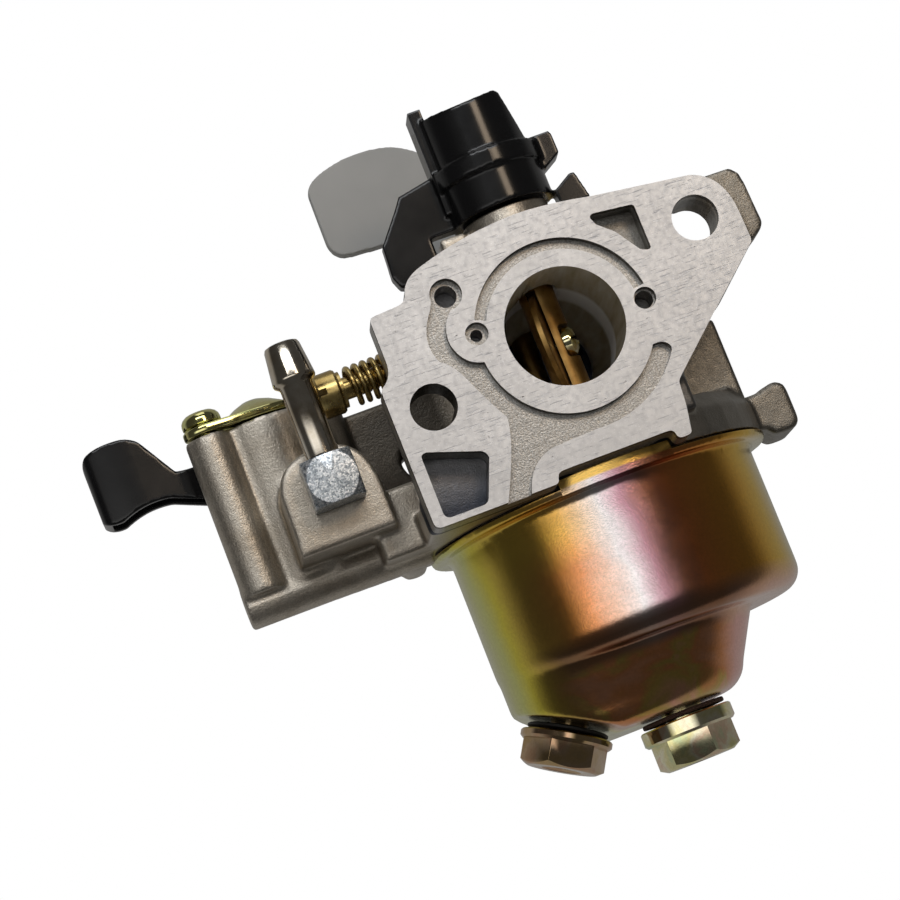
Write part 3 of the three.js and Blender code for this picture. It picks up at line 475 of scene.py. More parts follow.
def passivated_steel(name, green=0.5, brown=0.0):
    """Turned steel with the same yellow passivation, in blotches of green, gold and pink."""
    n = Nodes(name)
    cloud = n.noise(210, 4, 0.5, distort=0.4)
    tint = n.ramp(cloud, (0.30, (0.58, 0.70, 0.48)), (0.42, (0.86, 0.76, 0.42)), (0.52, (1.0, 0.93, 0.78)),
                  (0.60, (0.90, 0.60, 0.52)), (0.72, (0.62, 0.70, 0.52)))
    colour = n.mix(green, tint, (0.66, 0.68, 0.20))
    # The brown mix, used for the drain bolt, makes a darker copy of this finish: painted shade
    colour = n.mix(brown, colour, (0.46, 0.26, 0.12))
    colour = n.mix(n.span(n.noise(2400, 3, 0.7), 0.35, 0.65, 0.15, 0.0), colour, (0.16, 0.13, 0.05))
    normal = n.bump(n.noise(2600, 3, 0.6), 0.012, 0.2)
    return n.done(colour, n.span(cloud, 0.3, 0.7, 0.06, 0.12), 1.0, normal)


def zinc_steel():
    n = Nodes("zinc_steel")
    cloud = n.noise(240, 4, 0.6)
    colour = n.mix(n.span(cloud, 0.35, 0.65), (0.52, 0.44, 0.33), (0.72, 0.67, 0.58))
    normal = n.bump(n.noise(1800, 3, 0.6), 0.01, 0.4)
    return n.done(colour, n.span(cloud, 0.3, 0.7, 0.09, 0.15), 1.0, normal)


def spangled_zinc():
    """The inlet block: bright cadmium-like crystals on its round face."""
    n = Nodes("spangled_zinc")
    cells = n.cells(5200)
    sparkle = n.xyz(cells["Color"])[0]
    colour = n.ramp(sparkle, (0.0, (0.22, 0.25, 0.28)), (0.35, (0.42, 0.46, 0.50)),
                    (0.65, (0.66, 0.70, 0.74)),
                    (1.0, (0.98, 0.99, 1.0)))
    normal = n.bump(sparkle, 0.05, 0.8)
    return n.done(colour, 0.34, 0.95, normal)


def brass():
    n = Nodes("brass")
    cloud = n.noise(420, 4, 0.6)
    colour = n.mix(n.span(cloud, 0.35, 0.65), (0.36, 0.25, 0.09), (0.66, 0.50, 0.20))
    normal = n.bump(n.noise(2600, 2, 0.6), 0.02, 0.4)
    return n.done(colour, n.span(cloud, 0.3, 0.7, 0.2, 0.32), 1.0, normal)


def dull_gold():
    n = Nodes("dull_gold")
    cloud = n.noise(260, 4, 0.6)
    colour = n.mix(n.span(cloud, 0.35, 0.65), (0.22, 0.12, 0.035), (0.42, 0.26, 0.09))
    normal = n.bump(n.noise(2400, 3, 0.6), 0.02, 0.4)
    return n.done(colour, 0.42, 1.0, normal)


def shade_dark_zinc():
    # A near-black, bluish copy of the zinc finish: painted shade on the choke plate far inside the bore
    n = Nodes("shade_dark_zinc")
    cloud = n.noise(260, 4, 0.6)
    colour = n.mix(n.span(cloud, 0.35, 0.65), (0.05, 0.07, 0.12), (0.11, 0.13, 0.18))
    normal = n.bump(n.noise(1800, 3, 0.6), 0.02, 0.4)
    return n.done(colour, 0.4, 1.0, normal)


def black_plastic():
    n = Nodes("black_plastic")
    haze = n.noise(160, 4, 0.6)
    peel = n.noise(700, 3, 0.5)
    dust = n.span(n.noise(3800, 2, 0.7), 0.70, 0.76)
    colour = n.mix(n.math("MULTIPLY", dust, 0.03), (0.0055, 0.0055, 0.006), (0.12, 0.11, 0.10))
    normal = n.bump(peel, 0.02, 0.08)
    return n.done(colour, n.span(haze, 0.3, 0.7, 0.16, 0.21), 0.0, normal, Specular_IOR_Level=0.45)


def grey_plastic():
    n = Nodes("grey_plastic")
    haze = n.noise(120, 3, 0.5)
    colour = n.mix(n.span(haze, 0.3, 0.7), (0.41, 0.412, 0.405), (0.45, 0.45, 0.44))
    normal = n.bump(n.noise(2500, 3, 0.6), 0.015, 0.35)
    return n.done(colour, 0.55, 0.0, normal, Specular_IOR_Level=0.3)


def rubber():
    n = Nodes("rubber")
    normal = n.bump(n.noise(2200, 3, 0.6), 0.03, 0.5)
    return n.done(n.mix(n.noise(300, 3, 0.6), (0.008, 0.008, 0.008), (0.025, 0.024, 0.023)), 0.55, 0.0,
                  normal)


def float_plastic():
    n = Nodes("float_plastic")
    normal = n.bump(n.noise(1500, 3, 0.6), 0.04, 0.4)
    return n.done(n.mix(n.noise(200, 3, 0.6), (0.03, 0.027, 0.022), (0.07, 0.06, 0.05)), 0.6, 0.0, normal)


def shadow_dark_fibre():
    # The washer is made near black so that it reads as a shadow line under the bolt: painted shadow
    n = Nodes("shadow_dark_fibre")
    normal = n.bump(n.noise(1800, 4, 0.7), 0.04, 0.6)
    return n.done(n.mix(n.noise(600, 3, 0.6), (0.05, 0.025, 0.016), (0.10, 0.05, 0.03)), 0.8, 0.0, normal)


def pale_floor():
    n = Nodes("pale_floor")
    colour = n.mix(n.noise(6, 3, 0.5), (0.90, 0.90, 0.90), (0.92, 0.92, 0.92))
    return n.done(colour, 0.9, 0.0, None, Specular_IOR_Level=0.1)


MAT = {
    "cast_aluminium": cast_aluminium(),
    "bowl_passivation_and_reflection": bowl_passivation_and_reflection(),
    "passivated_steel": passivated_steel("passivated_steel", 0.25),
    # A darker, browner copy of the bolt steel for the drain bolt: painted shade
    "shaded_drain_steel": passivated_steel("shaded_drain_steel", 0.1, 0.75),
    "cover_steel": passivated_steel("cover_steel", 0.75),
    "zinc_steel": zinc_steel(),
    "spangled_zinc": spangled_zinc(),
    "brass": brass(),
    "dull_gold": dull_gold(),
    "shade_dark_zinc": shade_dark_zinc(),
    "black_plastic": black_plastic(),
    "grey_plastic": grey_plastic(),
    "rubber": rubber(),
    "float_plastic": float_plastic(),
    "washer": shadow_dark_fibre(),
}


# ---- body casting -------------------------------------------------------------------------------
def flange_outline():
    return line_and_curves(
        (-24.9, -18.0), (-25.0, 0.4), (-23.1, 1.2, -23.05, 3.4), (-23.05, 9.6), (-18.9, 9.85),
        (-17.8, 10.0, -17.6, 11.2), (-17.0, 13.0, -14.2, 13.75), (-7.2, 15.9, 0, 15.9),
        (4.6, 15.7, 9.4, 14.7),
        (22.4, 12.9), (26.5, 11.6, 26.6, 6.0), (26.7, 2.0), (17.8, -5.65), (10.9, -11.7), (10.6, -15.0),
        (9.9, -18.7), (8.0, -18.7), (7.9, -17.3), (-8.0, -17.3), (-8.2, -18.7), (-24.0, -18.7),
        (-24.8, -18.7, -24.9, -18.0))


def channel_outline():
    start = line_and_curves((-12.2, 7.6), (-15.0, 5.6, -14.6, 2.6), (-13.9, -0.3, -11.4, -0.8))
    inner = arc(11.4, 184, 327)
    tip = line_and_curves(inner[-1], (11.3, -6.0, 11.7, -7.3))[1:]
    outer = arc(13.9, -32, -94)
    back = line_and_curves(
        (-7.0, -14.1), (-10.9, -14.6, -12.1, -19.2), (-15.4, -19.2), (-11.4, -11.5, -11.3, -8.4),
        (-12.4, -6.6, -14.4, -1.8), (-15.4, 0.4, -16.7, 1.2), (-18.2, 4.4, -15.4, 7.9), (-14.8, 9.1))
    return start + inner + tip + outer[1:] + back


def recess_tools():
    floor = 1.2
    triangle = line_and_curves((8.2, 12.0), (8.3, 12.6, 9.1, 12.45), (13.6, 11.9), (14.2, 11.8, 14.15, 11.3),
                               (14.15, 6.0), (14.1, 5.3, 13.3, 5.7), (12.7, 6.0), (10.6, 9.2), (8.6, 11.0))
    trapezium = line_and_curves((-23.3, -9.5), (-23.2, -9.0, -22.4, -9.1), (-16.1, -11.3),
                                (-15.3, -11.6, -15.3, -12.5),
                                (-17.3, -17.4), (-17.6, -17.9, -18.2, -17.9), (-22.2, -17.9),
                                (-23.3, -17.9, -23.3, -17.0))
    ring = arc(11.6, 8, 156) + arc(10.1, 156, 8)
    tools = [prism(channel_outline(), -1, floor), prism(ring, -1, floor), prism(triangle, -1, 3.6),
             prism(trapezium, -1, 5.2)]
    for x, z, mouth, drill in ((-12.8, 9.1, 2.1, 1.45), (-10.95, 2.95, 1.5, 0.8), (10.9, -0.2, 1.45, 1.2)):
        tools.append(rod(mouth, -1, floor + 0.02, "Y", (x, 0, z)))
        tools.append(rod(drill, -1, 5.4, "Y", (x, 0, z)))
    return tools


def bore_tool():
    return lathe([(0, -1), (BORE_R, -1), (BORE_R, 20), (VENTURI_R + 0.4, 24), (VENTURI_R, 25.2),
                  (VENTURI_R, 28),
                  (VENTURI_R + 0.4, 28.8), (CHOKE_BORE_R, 33), (CHOKE_BORE_R, LENGTH - 2),
                  (CHOKE_BORE_R + 1.6, LENGTH), (CHOKE_BORE_R + 1.6, LENGTH + 3), (0, LENGTH + 3)], "Y")


def cast_body():
    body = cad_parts["body_casting"].copy()
    body.data = body.data.copy()
    for key in list(body.keys()):
        del body[key]
    body.parent = None
    bpy.context.scene.collection.objects.link(body)
    weld = body.modifiers.new("weld", "WELD")
    weld.merge_threshold = 1e-6
    bake(body)
    join(body, prism(flange_outline(), -1.6, 5.9))
    soften(body, 0.33, 7)
    boss_crown = lathe([(0, 12), (5.95, 12), (5.95, 18.7), (5.75, 18.9), (0, 18.9)], "Z", (0, THROTTLE_Y, 0))
    join(body, boss_crown)
    face = box(-40, 40, -6, 0, -40, 40)
    tap_top = box(-56, -24, 12, 42, TAP_TOP, TAP_TOP + 4)
    holes = [rod(STUD_R, -3, LENGTH + 3, "Y", (x, 0, z), FINE) for x, z in STUDS]
    holes += [rod(2.7, -10.2, 20, "Z", (0, THROTTLE_Y, 0)), rod(4.3, 17.3, 20, "Z", (0, THROTTLE_Y, 0)),
              rod(2.3, -10.9, 17, "Z", (0, CHOKE_Y, 0)), rod(7.4, -0.3, TAP_TOP + 1, "Z", (*VALVE, 0), FINE),
              rod(1.9, -24, -7.2, "X", (0, *PILOT))]
    cut(body, face, tap_top, bore_tool(), *holes, *recess_tools())
    return finish_piece(body, "cast_body", MAT["cast_aluminium"], "carburetor_body", "cast_aluminium",
                        "body_casting", sharp=40)


# ---- float bowl and bolts -----------------------------------------------------------------------
def cup_side(radius, floor, corner):
    return [(0, floor)] + arc(corner, -90, 0, (radius - corner, floor + corner), 12)


def sump_form(inset):
    """A shallow cone that leans, so that its left wall stands upright."""
    corner = 3.0
    foot = SUMP_R - SUMP_TAPER * (SUMP_SHOULDER - SUMP_Z - corner)
    radius, top = SUMP_R - inset, LEDGE_Z + 6
    side = cup_side(foot - inset, SUMP_Z + inset, corner - inset)
    form = lathe(side + [(radius, SUMP_SHOULDER), (radius, top), (0, top)], "Z", (SUMP_X, BOWL_Y, 0), 128)
    lean = Matrix.Identity(4)
    lean[0][2] = SUMP_TAPER
    lean[0][3] = -SUMP_TAPER * SUMP_SHOULDER * MM
    return move(form, lean)


def slope_tool(inset):
    tool = prism([(-20, -20), (20, -20), (20, 0), (-20, 0)], -30, 30)
    tilt = math.radians(DRAIN_TILT)
    shift = Vector(DRAIN) + Vector((math.sin(tilt), 0, math.cos(tilt))) * inset
    return move(tool, Matrix.Translation(shift * MM) @ Matrix.Rotation(tilt, 4, "Y"))


def bowl_form(inset):
    top = LIP_TOP + 1.5
    form = lathe(cup_side(BOWL_R - inset, LEDGE_Z + inset, 3.0 - inset) + [(BOWL_R - inset, top), (0, top)],
                 "Z", (0, BOWL_Y, 0), 128)
    join(form, sump_form(inset))
    return cut(form, slope_tool(inset))


def on_drain_seat(obj):
    tilt = Matrix.Rotation(math.radians(DRAIN_TILT), 4, "Y")
    return move(obj, Matrix.Translation(Vector(DRAIN) * MM) @ tilt)


def pressed_bowl():
    bowl = bowl_form(0)
    tab = common(lathe([(24.32, -19.7), (24.62, -19.7), (24.62, -17.7), (24.32, -17.7)], "Z", (0, BOWL_Y, 0),
                       256),
                 box(-7.7, 7.7, 3, 8, -20, -17))
    lip = lathe([(0, LIP_TOP - 0.9), (LIP_R, LIP_TOP - 0.9), (LIP_R, LIP_TOP + 1.5), (0, LIP_TOP + 1.5)],
                "Z", (0, BOWL_Y, 0), 128)
    join(bowl, lip)
    soften(bowl, 0.36, 12)
    cut(bowl, box(-30, 30, -2, 60, LIP_TOP, LIP_TOP + 6), bowl_form(0.9),
        rod(3.2, SUMP_Z - 2, SUMP_Z + 3, "Z", (0, BOWL_Y, 0)), on_drain_seat(rod(2.9, -3, 3)))
    join(bowl, tab)
    return finish_piece(bowl, "pressed_bowl", MAT["bowl_passivation_and_reflection"], "carburetor_body", "passivated_steel",
                        "float_bowl", sharp=50)


def hexagon_head(across, low, high, dish, turn):
    """A hexagon with its lower corners turned off and a shallow dish in its end."""
    corner = across / math.sqrt(3)
    outline = [(corner * math.cos(math.radians(60 * k + turn)),
                corner * math.sin(math.radians(60 * k + turn)))
               for k in range(6)]
    head = prism(outline, low, high, "Z")
    flat = across / 2
    crown = lathe([(0, low), (flat - 0.3, low), (flat + 1.6, low + 1.1), (flat + 1.6, high + 1),
                   (0, high + 1)])
    common(head, crown)
    if dish:
        cut(head,
            lathe([(0, low - 1), (2.7, low - 1), (2.7, low + 0.05), (2.2, low + dish), (0, low + dish)]))
    return break_edges(head, 0.18, 2, 25)


def bolt(collar_low, collar_high, collar_radius, hex_low, shank_top, shank_radius, turn):
    collar = lathe([(0, collar_low - 0.1), (collar_radius - 0.35, collar_low - 0.1),
                    (collar_radius, collar_low + 0.25), (collar_radius, collar_high - 0.2),
                    (collar_radius - 0.2, collar_high), (0, collar_high)])
    shank = rod(shank_radius, collar_high - 0.1, shank_top)
    return join(hexagon_head(10, hex_low, collar_low + 0.05, 0.35, turn), collar, shank)


def bowl_bolts():
    main = bolt(-52.8, SUMP_Z - 1.2, 6.45, -56.8, -43.6, 2.9, 45)
    move(main, Matrix.Translation((0, BOWL_Y * MM, 0)))
    finish_piece(main, "bowl_bolt_turned", MAT["passivated_steel"], "carburetor_body", "passivated_steel",
                 "bowl_bolt", sharp=30)
    drain = bolt(-2.3, -1.2, 6.2, -5.9, 3.4, 2.5, 6)
    on_drain_seat(drain)
    finish_piece(drain, "drain_bolt_turned", MAT["shaded_drain_steel"], "carburetor_body", "passivated_steel",
                 "drain_bolt", sharp=30)
    ring = lathe([(2.9, -0.9), (5.2, -0.9), (5.45, -0.75), (5.45, -0.45), (5.2, -0.3), (2.9, -0.3)],
                 name="ring")
    finish_piece(on_drain_seat(ring), "drain_ring", MAT["rubber"], "carburetor_body", "rubber",
                 "drain_gasket")
    low, high = SUMP_Z - 0.9, SUMP_Z - 0.3
    washer = lathe([(3.2, low), (5.7, low), (5.8, low + 0.15), (5.8, high - 0.15), (5.7, high), (3.2, high)],
                   "Z", (0, BOWL_Y, 0))
    finish_piece(washer, "bowl_bolt_ring", MAT["washer"], "carburetor_body", "washer", "bowl_bolt_washer")


# ---- shafts and plates --------------------------------------------------------------------------
def plate_set(prefix, body, radius, low, high, bore, turn, y, look, finish):
    """A slotted shaft, its round plate and the screw that holds it."""
    spin = Matrix.Translation((0, y * MM, 0)) @ Matrix.Rotation(math.radians(turn), 4, "Z")
    shaft = rod(radius, low, high, "Z", (0, 0, 0), 64)
    spot = box(1.2, 3 * radius, -2 * radius, 2 * radius, -2.3, 2.3)
    cut(shaft, box(-1.1, 0.3, -2 * radius, 2 * radius, 0.05 - bore, bore - 0.05), break_edges(spot, 0.5, 4),
        rod(0.9, -5, 5, "X"))
    finish_piece(move(shaft, spin), prefix + "_shaft_turned", MAT["dull_gold"], body, "zinc_steel",
                 prefix + "_shaft")
    plate = lathe([(0, -0.8), (bore - 0.4, -0.8), (bore - 0.3, -0.7), (bore - 0.3, -0.1), (bore - 0.4, 0),
                   (0, 0)],
                  "X", (0, 0, 0), 128)
    cut(plate, rod(0.9, -5, 5, "X"))
    finish_piece(move(plate, spin), prefix + "_disc", MAT[look], body, finish, prefix + "_plate")
    screw = lathe([(0, -1.8), (0.6, -1.8), (0.6, 1.3), (2.0, 1.3), (2.0, 2.1), (1.85, 2.4), (1.4, 2.75),
                   (0.7, 2.88),
                   (0, 2.9)], "X", (0, 0, 0), 64)
    cut(screw, box(2.35, 4, -0.3, 0.3, -3, 3), box(2.35, 4, -3, 3, -0.3, 0.3))
    finish_piece(move(screw, spin), prefix + "_plate_fastener", MAT["passivated_steel"], body, "brass",
                 prefix + "_plate_screw")


# ---- levers -------------------------------------------------------------------------------------
def moulded_throttle_lever():
    low = 19.2
    hub = lathe([(0, low), (7.1, low), (7.1, 24.4), (0, 24.4)])
    collar = lathe([(0, 24.2), (7.6, 24.2), (7.6, 26.8), (0, 26.8)])
    drum = lathe([(0, 26.6), (6.7, 26.6), (6.7, 34.3), (0, 34.3)])
    cut(drum, rod(21.2, -9, 9, "Y", (-1.2, 0, 54.9), 240))
    rib = box(-7.4, -5.6, -2.4, 2.4, low + 2, 36.0)
    ear = prism([(5, 23.4), (7.4, 22.8), (9.75, 24.2), (9.7, 26.9), (9.2, 27.8), (7, 28.3), (5, 28.3)], -2,
                2)
    arm = prism([(-5, 26.9), (-7.4, 27.0), (-12.4, 26.0), (-13.4, 24.6), (-16.8, 20.4), (-17.1, 16.0),
                 (-16.5, 14.4),
                 (-14.6, 13.6), (-10.4, 13.6), (-10.4, 19.2), (-5, 19.2)], -1.3, 1.3)
    tab = prism([(5, 19.4), (5, 19.7), (7.4, 19.6), (10.1, 21.2), (10.7, 21.0), (11.5, 17.2), (7.4, 17.2),
                 (7.4, 19.4)], -1.6, 1.6)
    lever = join(drum, rib, collar, hub, ear, arm, tab)
    slant = prism([(3.6, 36.5), (3.9, 34.4), (4.6, 33.9), (6.0, 27.4), (10, 27.4), (10, 36.5)], -9, 9)
    cut(lever, slant, rod(4.0, 28.3, 37, "Z", (0, 0, 0), 64))
    soften(lever, 0.2, 5)
    cut(lever, rod(2.7, low - 1, low + 6.6))
    move(lever, Matrix.Translation((0, THROTTLE_Y * MM, 0)))
    return finish_piece(lever, "moulded_throttle_lever", MAT["black_plastic"], "throttle", "black_plastic",
                        "throttle_lever", sharp=60)


def moulded_choke_lever():
    tab = prism(line_and_curves((-13.4, 26.9), (-18.4, 27.3), (-20.6, 27.6, -20.9, 30.0), (-20.8, 37.4),
                                (-20.7, 39.1, -17.5, 40.1), (-12.6, 41.6, -7.6, 40.2),
                                (-4.2, 38.9, -2.2, 36.0),
                                (-2.2, 30.0)), -2.2, 0)
    neck = prism([(0, 17.6), (0, 21), (-3, 34), (-12, 34), (-11, 27), (-4, 20), (-3, 17.6)], -1.6, 0)
    lever = join(lathe([(0, 16.4), (5, 16.4), (5, 21), (0, 21)]), neck, tab)
    soften(lever, 0.22, 5)
    cut(lever, rod(2.3, 15, 19.4))
    move(lever, Matrix.Translation((0, CHOKE_Y * MM, 0)))
    return finish_piece(lever, "moulded_choke_lever", MAT["grey_plastic"], "choke", "grey_plastic",
                        "choke_lever",
                        sharp=60)


def moulded_tap_lever():
    side = line_and_curves(
        (-4, 4.4), (-7.6, 4.4), (-11.2, 4.3, -12.8, 4.6), (-15.8, 9.6), (-16.8, 11.2, -19.2, 11.3),
        (-21.6, 11.4, -23.3, 10.8), (-24.3, 10.4, -24.4, 9.0), (-24.3, 1.4), (-23.5, 0.3, -21.5, 0.5),
        (-17.9, 2.1, -14.5, 1.4), (-9.0, -0.9), (-7.6, -0.9), (-7.6, 1.2), (-4, 1.2))
    grip = prism(side, -2.2, 4.6)
    hollow = prism([(-23.1, -4), (-23.1, 8.4), (-17.2, 8.8), (-13.8, 2.8), (-9.6, 2.8), (-9.6, -4)], -1.0,
                   3.4)
    cut(grip, hollow)
    plan = line_and_curves((-24.4, 4.6), (-24.4, 0.6), (-24.4, -2.0, -21.6, -2.15),
                           (-20.0, -2.25, -17.6, -2.0),
                           (-9, -1.0), (-3, -0.6), (-3, 4.6))
    common(grip, prism(plan, -3, 14, "Z"))
    lever = join(grip, lathe([(0, 1.2), (7.1, 1.2), (7.1, 4.8), (0, 4.8)]))
    soften(lever, 0.18, 5)
    move(lever, Matrix.Translation((VALVE[0] * MM, VALVE[1] * MM, 0)))
    return finish_piece(lever, "moulded_tap_lever", MAT["black_plastic"], "fuel_tap", "black_plastic",
                        "fuel_tap_lever", sharp=60)


# ---- fuel tap cover and inlet -------------------------------------------------------------------
def pressed_cover():
    outline = hull_outline([(*SCREW_LEFT, 2.95), (*VALVE, 7.6), (*SCREW_RIGHT, 3.3)])
    cover = break_edges(prism(outline, TAP_TOP + 0.3, TAP_TOP + 1.5, "Z"), 0.3, 3, 50)
    top = TAP_TOP + 1.4
    dome = lathe([(0, top - 0.4), (5.6, top - 0.4), (5.5, top + 0.15), (5.1, top + 0.6), (4.2, top + 1.2),
                  (2.8, top + 2.0), (1.4, top + 2.55), (0, top + 2.75)], "Z", (*VALVE, 0))
    join(cover, dome)
    cut(cover, *[rod(1.7, 5, 9, "Z", (*at, 0)) for at in (SCREW_LEFT, SCREW_RIGHT)])
    return finish_piece(cover, "pressed_cover", MAT["cover_steel"], "carburetor_body", "passivated_steel",
                        "fuel_tap_cover", sharp=40)


def pan_screw(name, at, node):
    seat = TAP_TOP + 1.7
    dome = [(2.7, seat + 0.7), (2.62, seat + 1.1), (2.35, seat + 1.5), (1.9, seat + 1.8), (1.0, seat + 1.97)]
    screw = lathe([(0, -0.8), (1.4, -0.8), (1.4, seat), (2.55, seat),
                   (2.7, seat + 0.15)] + dome + [(0, seat + 2)],
                  "Z", (*at, 0), 64)
    x, y = at
    cut(screw, box(x - 0.35, x + 0.35, y - 1.7, y + 1.7, seat + 0.9, seat + 3),
        box(x - 1.7, x + 1.7, y - 0.35, y + 0.35, seat + 0.9, seat + 3))
    return finish_piece(screw, name, MAT["cover_steel"], "carburetor_body", "passivated_steel", node,
                        sharp=40)


def inlet_block():
    half, face, back = 3.38, PAD_Y - 5.4, PAD_Y - 0.3
    x, z = INLET
    block = box(x - half, x + half, face, back, z - 3.15, z + 3.15)
    crown = lathe([(0, face), (3.3, face), (3.75, face + 0.25), (5.6, face + 1.9), (5.6, back + 1),
                   (0, back + 1)],
                  "Y", (x, 0, z))
    common(block, crown)
    break_edges(block, 0.16, 2, 25)
    join(block, rod(2.1, face + 2, PAD_Y + 5.2, "Y", (x, 0, z)))
    return finish_piece(block, "inlet_elbow", MAT["spangled_zinc"], "carburetor_body", "zinc_steel",
                        "fuel_inlet_block", sharp=30)


def nipple():
    foot = INLET[1] + 3.45
    tube = lathe([(1.2, foot), (2.2, foot), (2.2, 5.9), (2.35, 6.15), (2.8, 6.5), (2.9, 6.75), (2.88, 7.1),
                  (2.42, 11.2), (2.25, 11.6), (2.0, 11.7), (1.35, 11.7), (1.2, 11.55)],
                 "Z", (INLET[0], PAD_Y - 2.6, 0), 64)
    return finish_piece(tube, "hose_nipple", MAT["zinc_steel"], "carburetor_body", "zinc_steel",
                        "fuel_nipple")


# ---- screws and springs -------------------------------------------------------------------------
def threaded(radius, low, high, pitch=0.5):
    """A profile with the crests and roots of a thread, as rings."""
    steps = int((high - low) / pitch)
    profile = []
    for i in range(steps):
        at = low + i * pitch
        profile += [(radius, at), (radius, at + 0.12 * pitch), (radius - 0.22, at + 0.5 * pitch),
                    (radius - 0.22, at + 0.62 * pitch)]
    return profile + [(radius, high)]


def mixture_needle():
    head = [(0, -32.0), (2.6, -32.0), (3.0, -31.6), (3.0, -29.1), (2.8, -28.8), (2.45, -28.7), (2.45, -28.3),
            (1.5, -28.25)]
    body = lathe(head + [(1.5, -25.0)] + threaded(1.5, -24.9, -12.4) + [(1.2, -12), (0.7, -9), (0, -7.6)],
                 "X", (0, *PILOT), 64)
    y, z = PILOT
    cut(body, box(-33, -30.6, y - 4, y + 4, z - 0.45, z + 0.45))
    return finish_piece(body, "mixture_needle", MAT["brass"], "mixture_adjuster", "brass", "mixture_screw",
                        sharp=30)


def stop_bolt():
    y, z = STOP
    body = lathe([(0, -4.1), (1.0, -4.1), (1.35, -3.6)] + threaded(1.5, -3.5, 5.4)
                 + [(1.5, 9.2), (2.7, 9.3), (2.8, 9.5), (2.8, 12.0), (2.4, 12.4), (0, 12.4)], "X", (0, y, z),
                 64)
    cut(body, box(11.3, 13, y - 4, y + 4, z - 0.4, z + 0.4))
    return finish_piece(body, "stop_bolt", MAT["brass"], "stop_adjuster", "brass", "throttle_stop_screw",
                        sharp=30)


def coil(name, low, high, radius, wire, turns, at, material, slot, node):
    """A helical spring along X, swept as a tube."""
    bm = bmesh.new()
    steps, sides = turns * 36, 12
    rings = []
    for i in range(steps + 1):
        t = i / steps
        angle = 2 * math.pi * turns * t
        centre = Vector((low + wire + (high - low - 2 * wire) * t, at[0] + radius * math.cos(angle),
                         at[1] + radius * math.sin(angle)))
        out = Vector((0, math.cos(angle), math.sin(angle)))
        ahead = Vector(((high - low - 2 * wire) / (2 * math.pi * turns), -radius * math.sin(angle),
                        radius * math.cos(angle))).normalized()
        side = ahead.cross(out)
        rings.append([bm.verts.new((centre + wire * (out * math.cos(a) + side * math.sin(a))) * MM)
                      for a in (2 * math.pi * k / sides for k in range(sides))])
    for near, far in zip(rings, rings[1:]):
        for k in range(sides):
            m = (k + 1) % sides
            bm.faces.new([near[k], near[m], far[m], far[k]])
    bm.faces.new(rings[0])
    bm.faces.new(rings[-1])
    return finish_piece(new_object(name, bm), name, MAT[material], "carburetor_body", slot, node)


# ---- camera, light and floor --------------------------------------------------------------------
def camera():
    data = bpy.data.cameras.new("camera")
    data.lens = 108.26
    data.sensor_width = 36
    data.clip_start = 0.01
    obj = bpy.data.objects.new("camera", data)
    bpy.context.scene.collection.objects.link(obj)
    yaw, pitch, roll = (math.radians(a) for a in (-6.623, 9.030, -21.491))
    level = Matrix.Rotation(yaw, 3, "Z") @ Matrix.Rotation(pitch, 3, "X")
    right, ahead, up = level.col[0].copy(), level.col[1].copy(), level.col[2].copy()
    across = right * math.cos(roll) + up * math.sin(roll)
    upward = up * math.cos(roll) - right * math.sin(roll)
    turn = Matrix((across, upward, -ahead)).transposed().to_4x4()
    obj.matrix_world = Matrix.Translation((-0.05836, -0.334, -0.06328)) @ turn
    bpy.context.scene.camera = obj


def softbox(name, azimuth, elevation, distance, width, height, power, colour=(1, 1, 1)):
    """An area light; azimuth 0 is in front of the flange face and grows towards +X."""
    data = bpy.data.lights.new(name, "AREA")
    data.shape = "RECTANGLE"
    data.size = width
    data.size_y = height
    data.energy = power
    data.color = colour
    obj = bpy.data.objects.new(name, data)
    bpy.context.scene.collection.objects.link(obj)
    a, e = math.radians(azimuth), math.radians(elevation)
    away = Vector((math.sin(a) * math.cos(e), -math.cos(a) * math.cos(e), math.sin(e)))
    aim = Vector((-0.008, 0.02, -0.01))
    obj.location = aim + away * distance
    obj.rotation_euler = (-away).to_track_quat("-Z", "Y").to_euler()


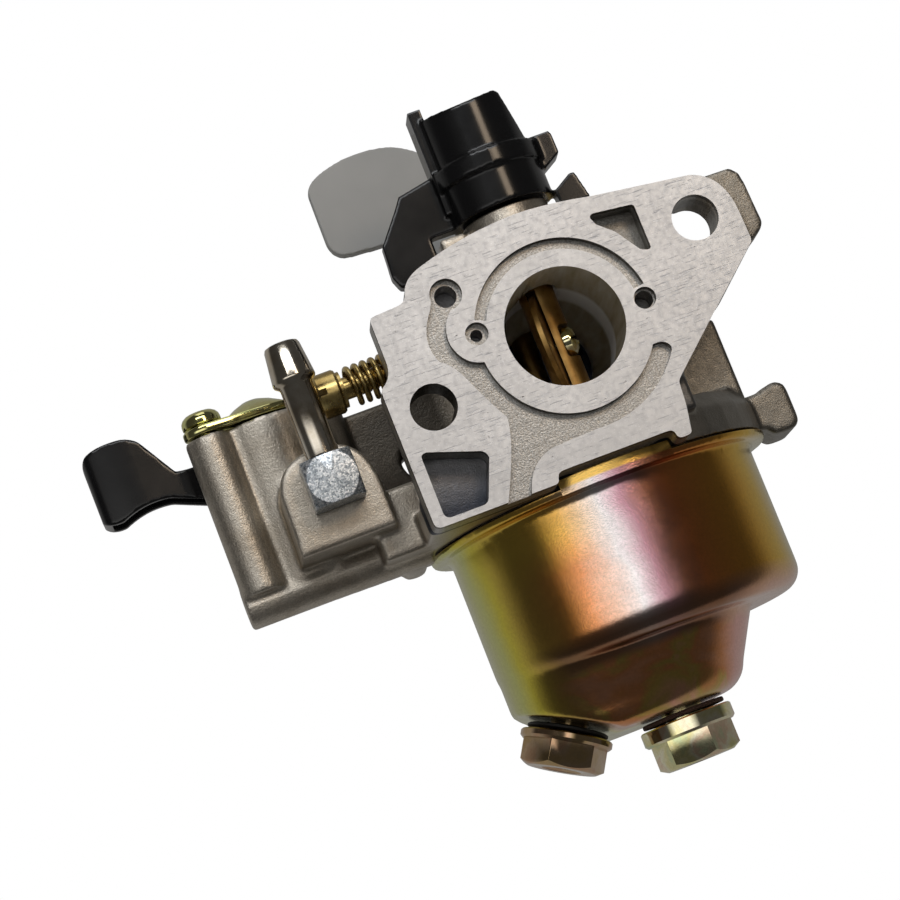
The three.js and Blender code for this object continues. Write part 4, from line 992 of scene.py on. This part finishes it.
def surroundings():
    """White to the eye. Reflected: a dark room, pale behind the object, with one low wide window in front."""
    world = bpy.data.worlds.new("world")
    bpy.context.scene.world = world
    world.use_nodes = True
    nodes, links = world.node_tree.nodes, world.node_tree.links
    nodes.clear()
    where = nodes.new("ShaderNodeTexCoord")
    split = nodes.new("ShaderNodeSeparateXYZ")
    links.new(where.outputs["Generated"], split.inputs[0])

    def calculate(operation, a, b):
        node = nodes.new("ShaderNodeMath")
        node.operation = operation
        for socket, value in zip(node.inputs, (a, b)):
            if isinstance(value, bpy.types.NodeSocket):
                links.new(value, socket)
            else:
                socket.default_value = value
        return node.outputs[0]

    def profile(value, stops):
        node = nodes.new("ShaderNodeFloatCurve")
        links.new(value, node.inputs["Value"])
        curve = node.mapping.curves[0]
        while len(curve.points) < len(stops):
            curve.points.new(0.5, 0.5)
        for point, (at, height) in zip(curve.points, stops):
            point.location = (at, height)
            point.handle_type = "VECTOR"
        node.mapping.update()
        return node.outputs[0]

    azimuth = calculate("ARCTAN2", split.outputs[0], calculate("MULTIPLY", split.outputs[1], -1.0))
    round_about = calculate("ADD", calculate("DIVIDE", azimuth, 2 * math.pi), 0.5)
    height = calculate("ADD", calculate("DIVIDE", calculate("ARCSINE", split.outputs[2], 0.0), math.pi), 0.5)

    def places(pairs):
        return [((angle + 180) / 360, value) for angle, value in pairs]

    room = profile(round_about, places([(-180, 0.32), (-112, 0.33), (-92, 0.05), (88, 0.06), (108, 0.26),
                                        (180, 0.30)]))
    window = profile(round_about, places([(-180, 0), (-58, 0), (-40, 1.0), (0, 1.0), (20, 0), (180, 0)]))
    sill = profile(height,
                   [(0, 0), (90 / 180 - 0.03, 0), (91 / 180, 1.0), (98 / 180, 1.0), (101 / 180, 0), (1, 0)])
    glow = calculate("MULTIPLY", calculate("MULTIPLY", window, sill), WINDOW_LIGHT)
    path = nodes.new("ShaderNodeLightPath")
    seen = nodes.new("ShaderNodeBackground")
    seen.inputs["Color"].default_value = (1, 0.985, 0.96, 1)
    links.new(calculate("ADD", room, glow), seen.inputs["Strength"])
    white = nodes.new("ShaderNodeBackground")
    white.inputs["Color"].default_value = (1, 1, 1, 1)
    choose = nodes.new("ShaderNodeMixShader")
    links.new(path.outputs["Is Camera Ray"], choose.inputs[0])
    links.new(seen.outputs[0], choose.inputs[1])
    links.new(white.outputs[0], choose.inputs[2])
    out = nodes.new("ShaderNodeOutputWorld")
    links.new(choose.outputs[0], out.inputs["Surface"])


def floor():
    bm = bmesh.new()
    bmesh.ops.create_circle(bm, cap_ends=True, radius=FLOOR_R, segments=128)
    obj = new_object("floor", bm)
    obj.location.z = FLOOR_Z
    obj.data.materials.append(pale_floor())
    obj.visible_glossy = False


camera()
surroundings()
floor()
softbox("stripe", 21, 17, 0.9, 0.18, 0.15, 0.7, (1.0, 0.79, 0.58))
softbox("front", 0, 32, 0.9, 0.8, 0.22, 2.6, (0.96, 0.98, 1.0))
softbox("top", 20, 75, 0.9, 0.5, 0.5, 0.9)
bpy.context.scene.view_settings.view_transform = "Standard"

cast_body()
pressed_bowl()
bowl_bolts()
plate_set("throttle", "throttle", 2.4, -9.8, 25.4, BORE_R, THROTTLE_REST, THROTTLE_Y, "dull_gold", "brass")
plate_set("choke", "choke", 2.0, -10.6, 19.1, CHOKE_BORE_R, 90, CHOKE_Y, "shade_dark_zinc", "zinc_steel")
moulded_throttle_lever()
moulded_choke_lever()
moulded_tap_lever()
pressed_cover()
pan_screw("cover_screw_near", SCREW_LEFT, "cover_screw_left")
pan_screw("cover_screw_far", SCREW_RIGHT, "cover_screw_right")
inlet_block()
nipple()
mixture_needle()
stop_bolt()
coil("mixture_coil", -27.9, -21.3, 2.4, 0.4, 5, PILOT, "brass", "brass", "mixture_screw_spring")
coil("stop_coil", 5.5, 9.0, 2.2, 0.35, 3, STOP, "zinc_steel", "zinc_steel", "throttle_stop_spring")

KEPT = {
    "rubber": ("bowl_gasket", "throttle_seal", "fuel_tap_seal"),
    "zinc_steel": ("fuel_tap_spring", "float_pin", "float_needle"),
    "brass": ("needle_seat", "emulsion_tube", "main_jet", "pilot_jet"),
    "float_plastic": ("float",),
}
for finish, names in KEPT.items():
    for name in names:
        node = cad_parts[name]
        node.data.materials.clear()
        node.data.materials.append(MAT[finish])
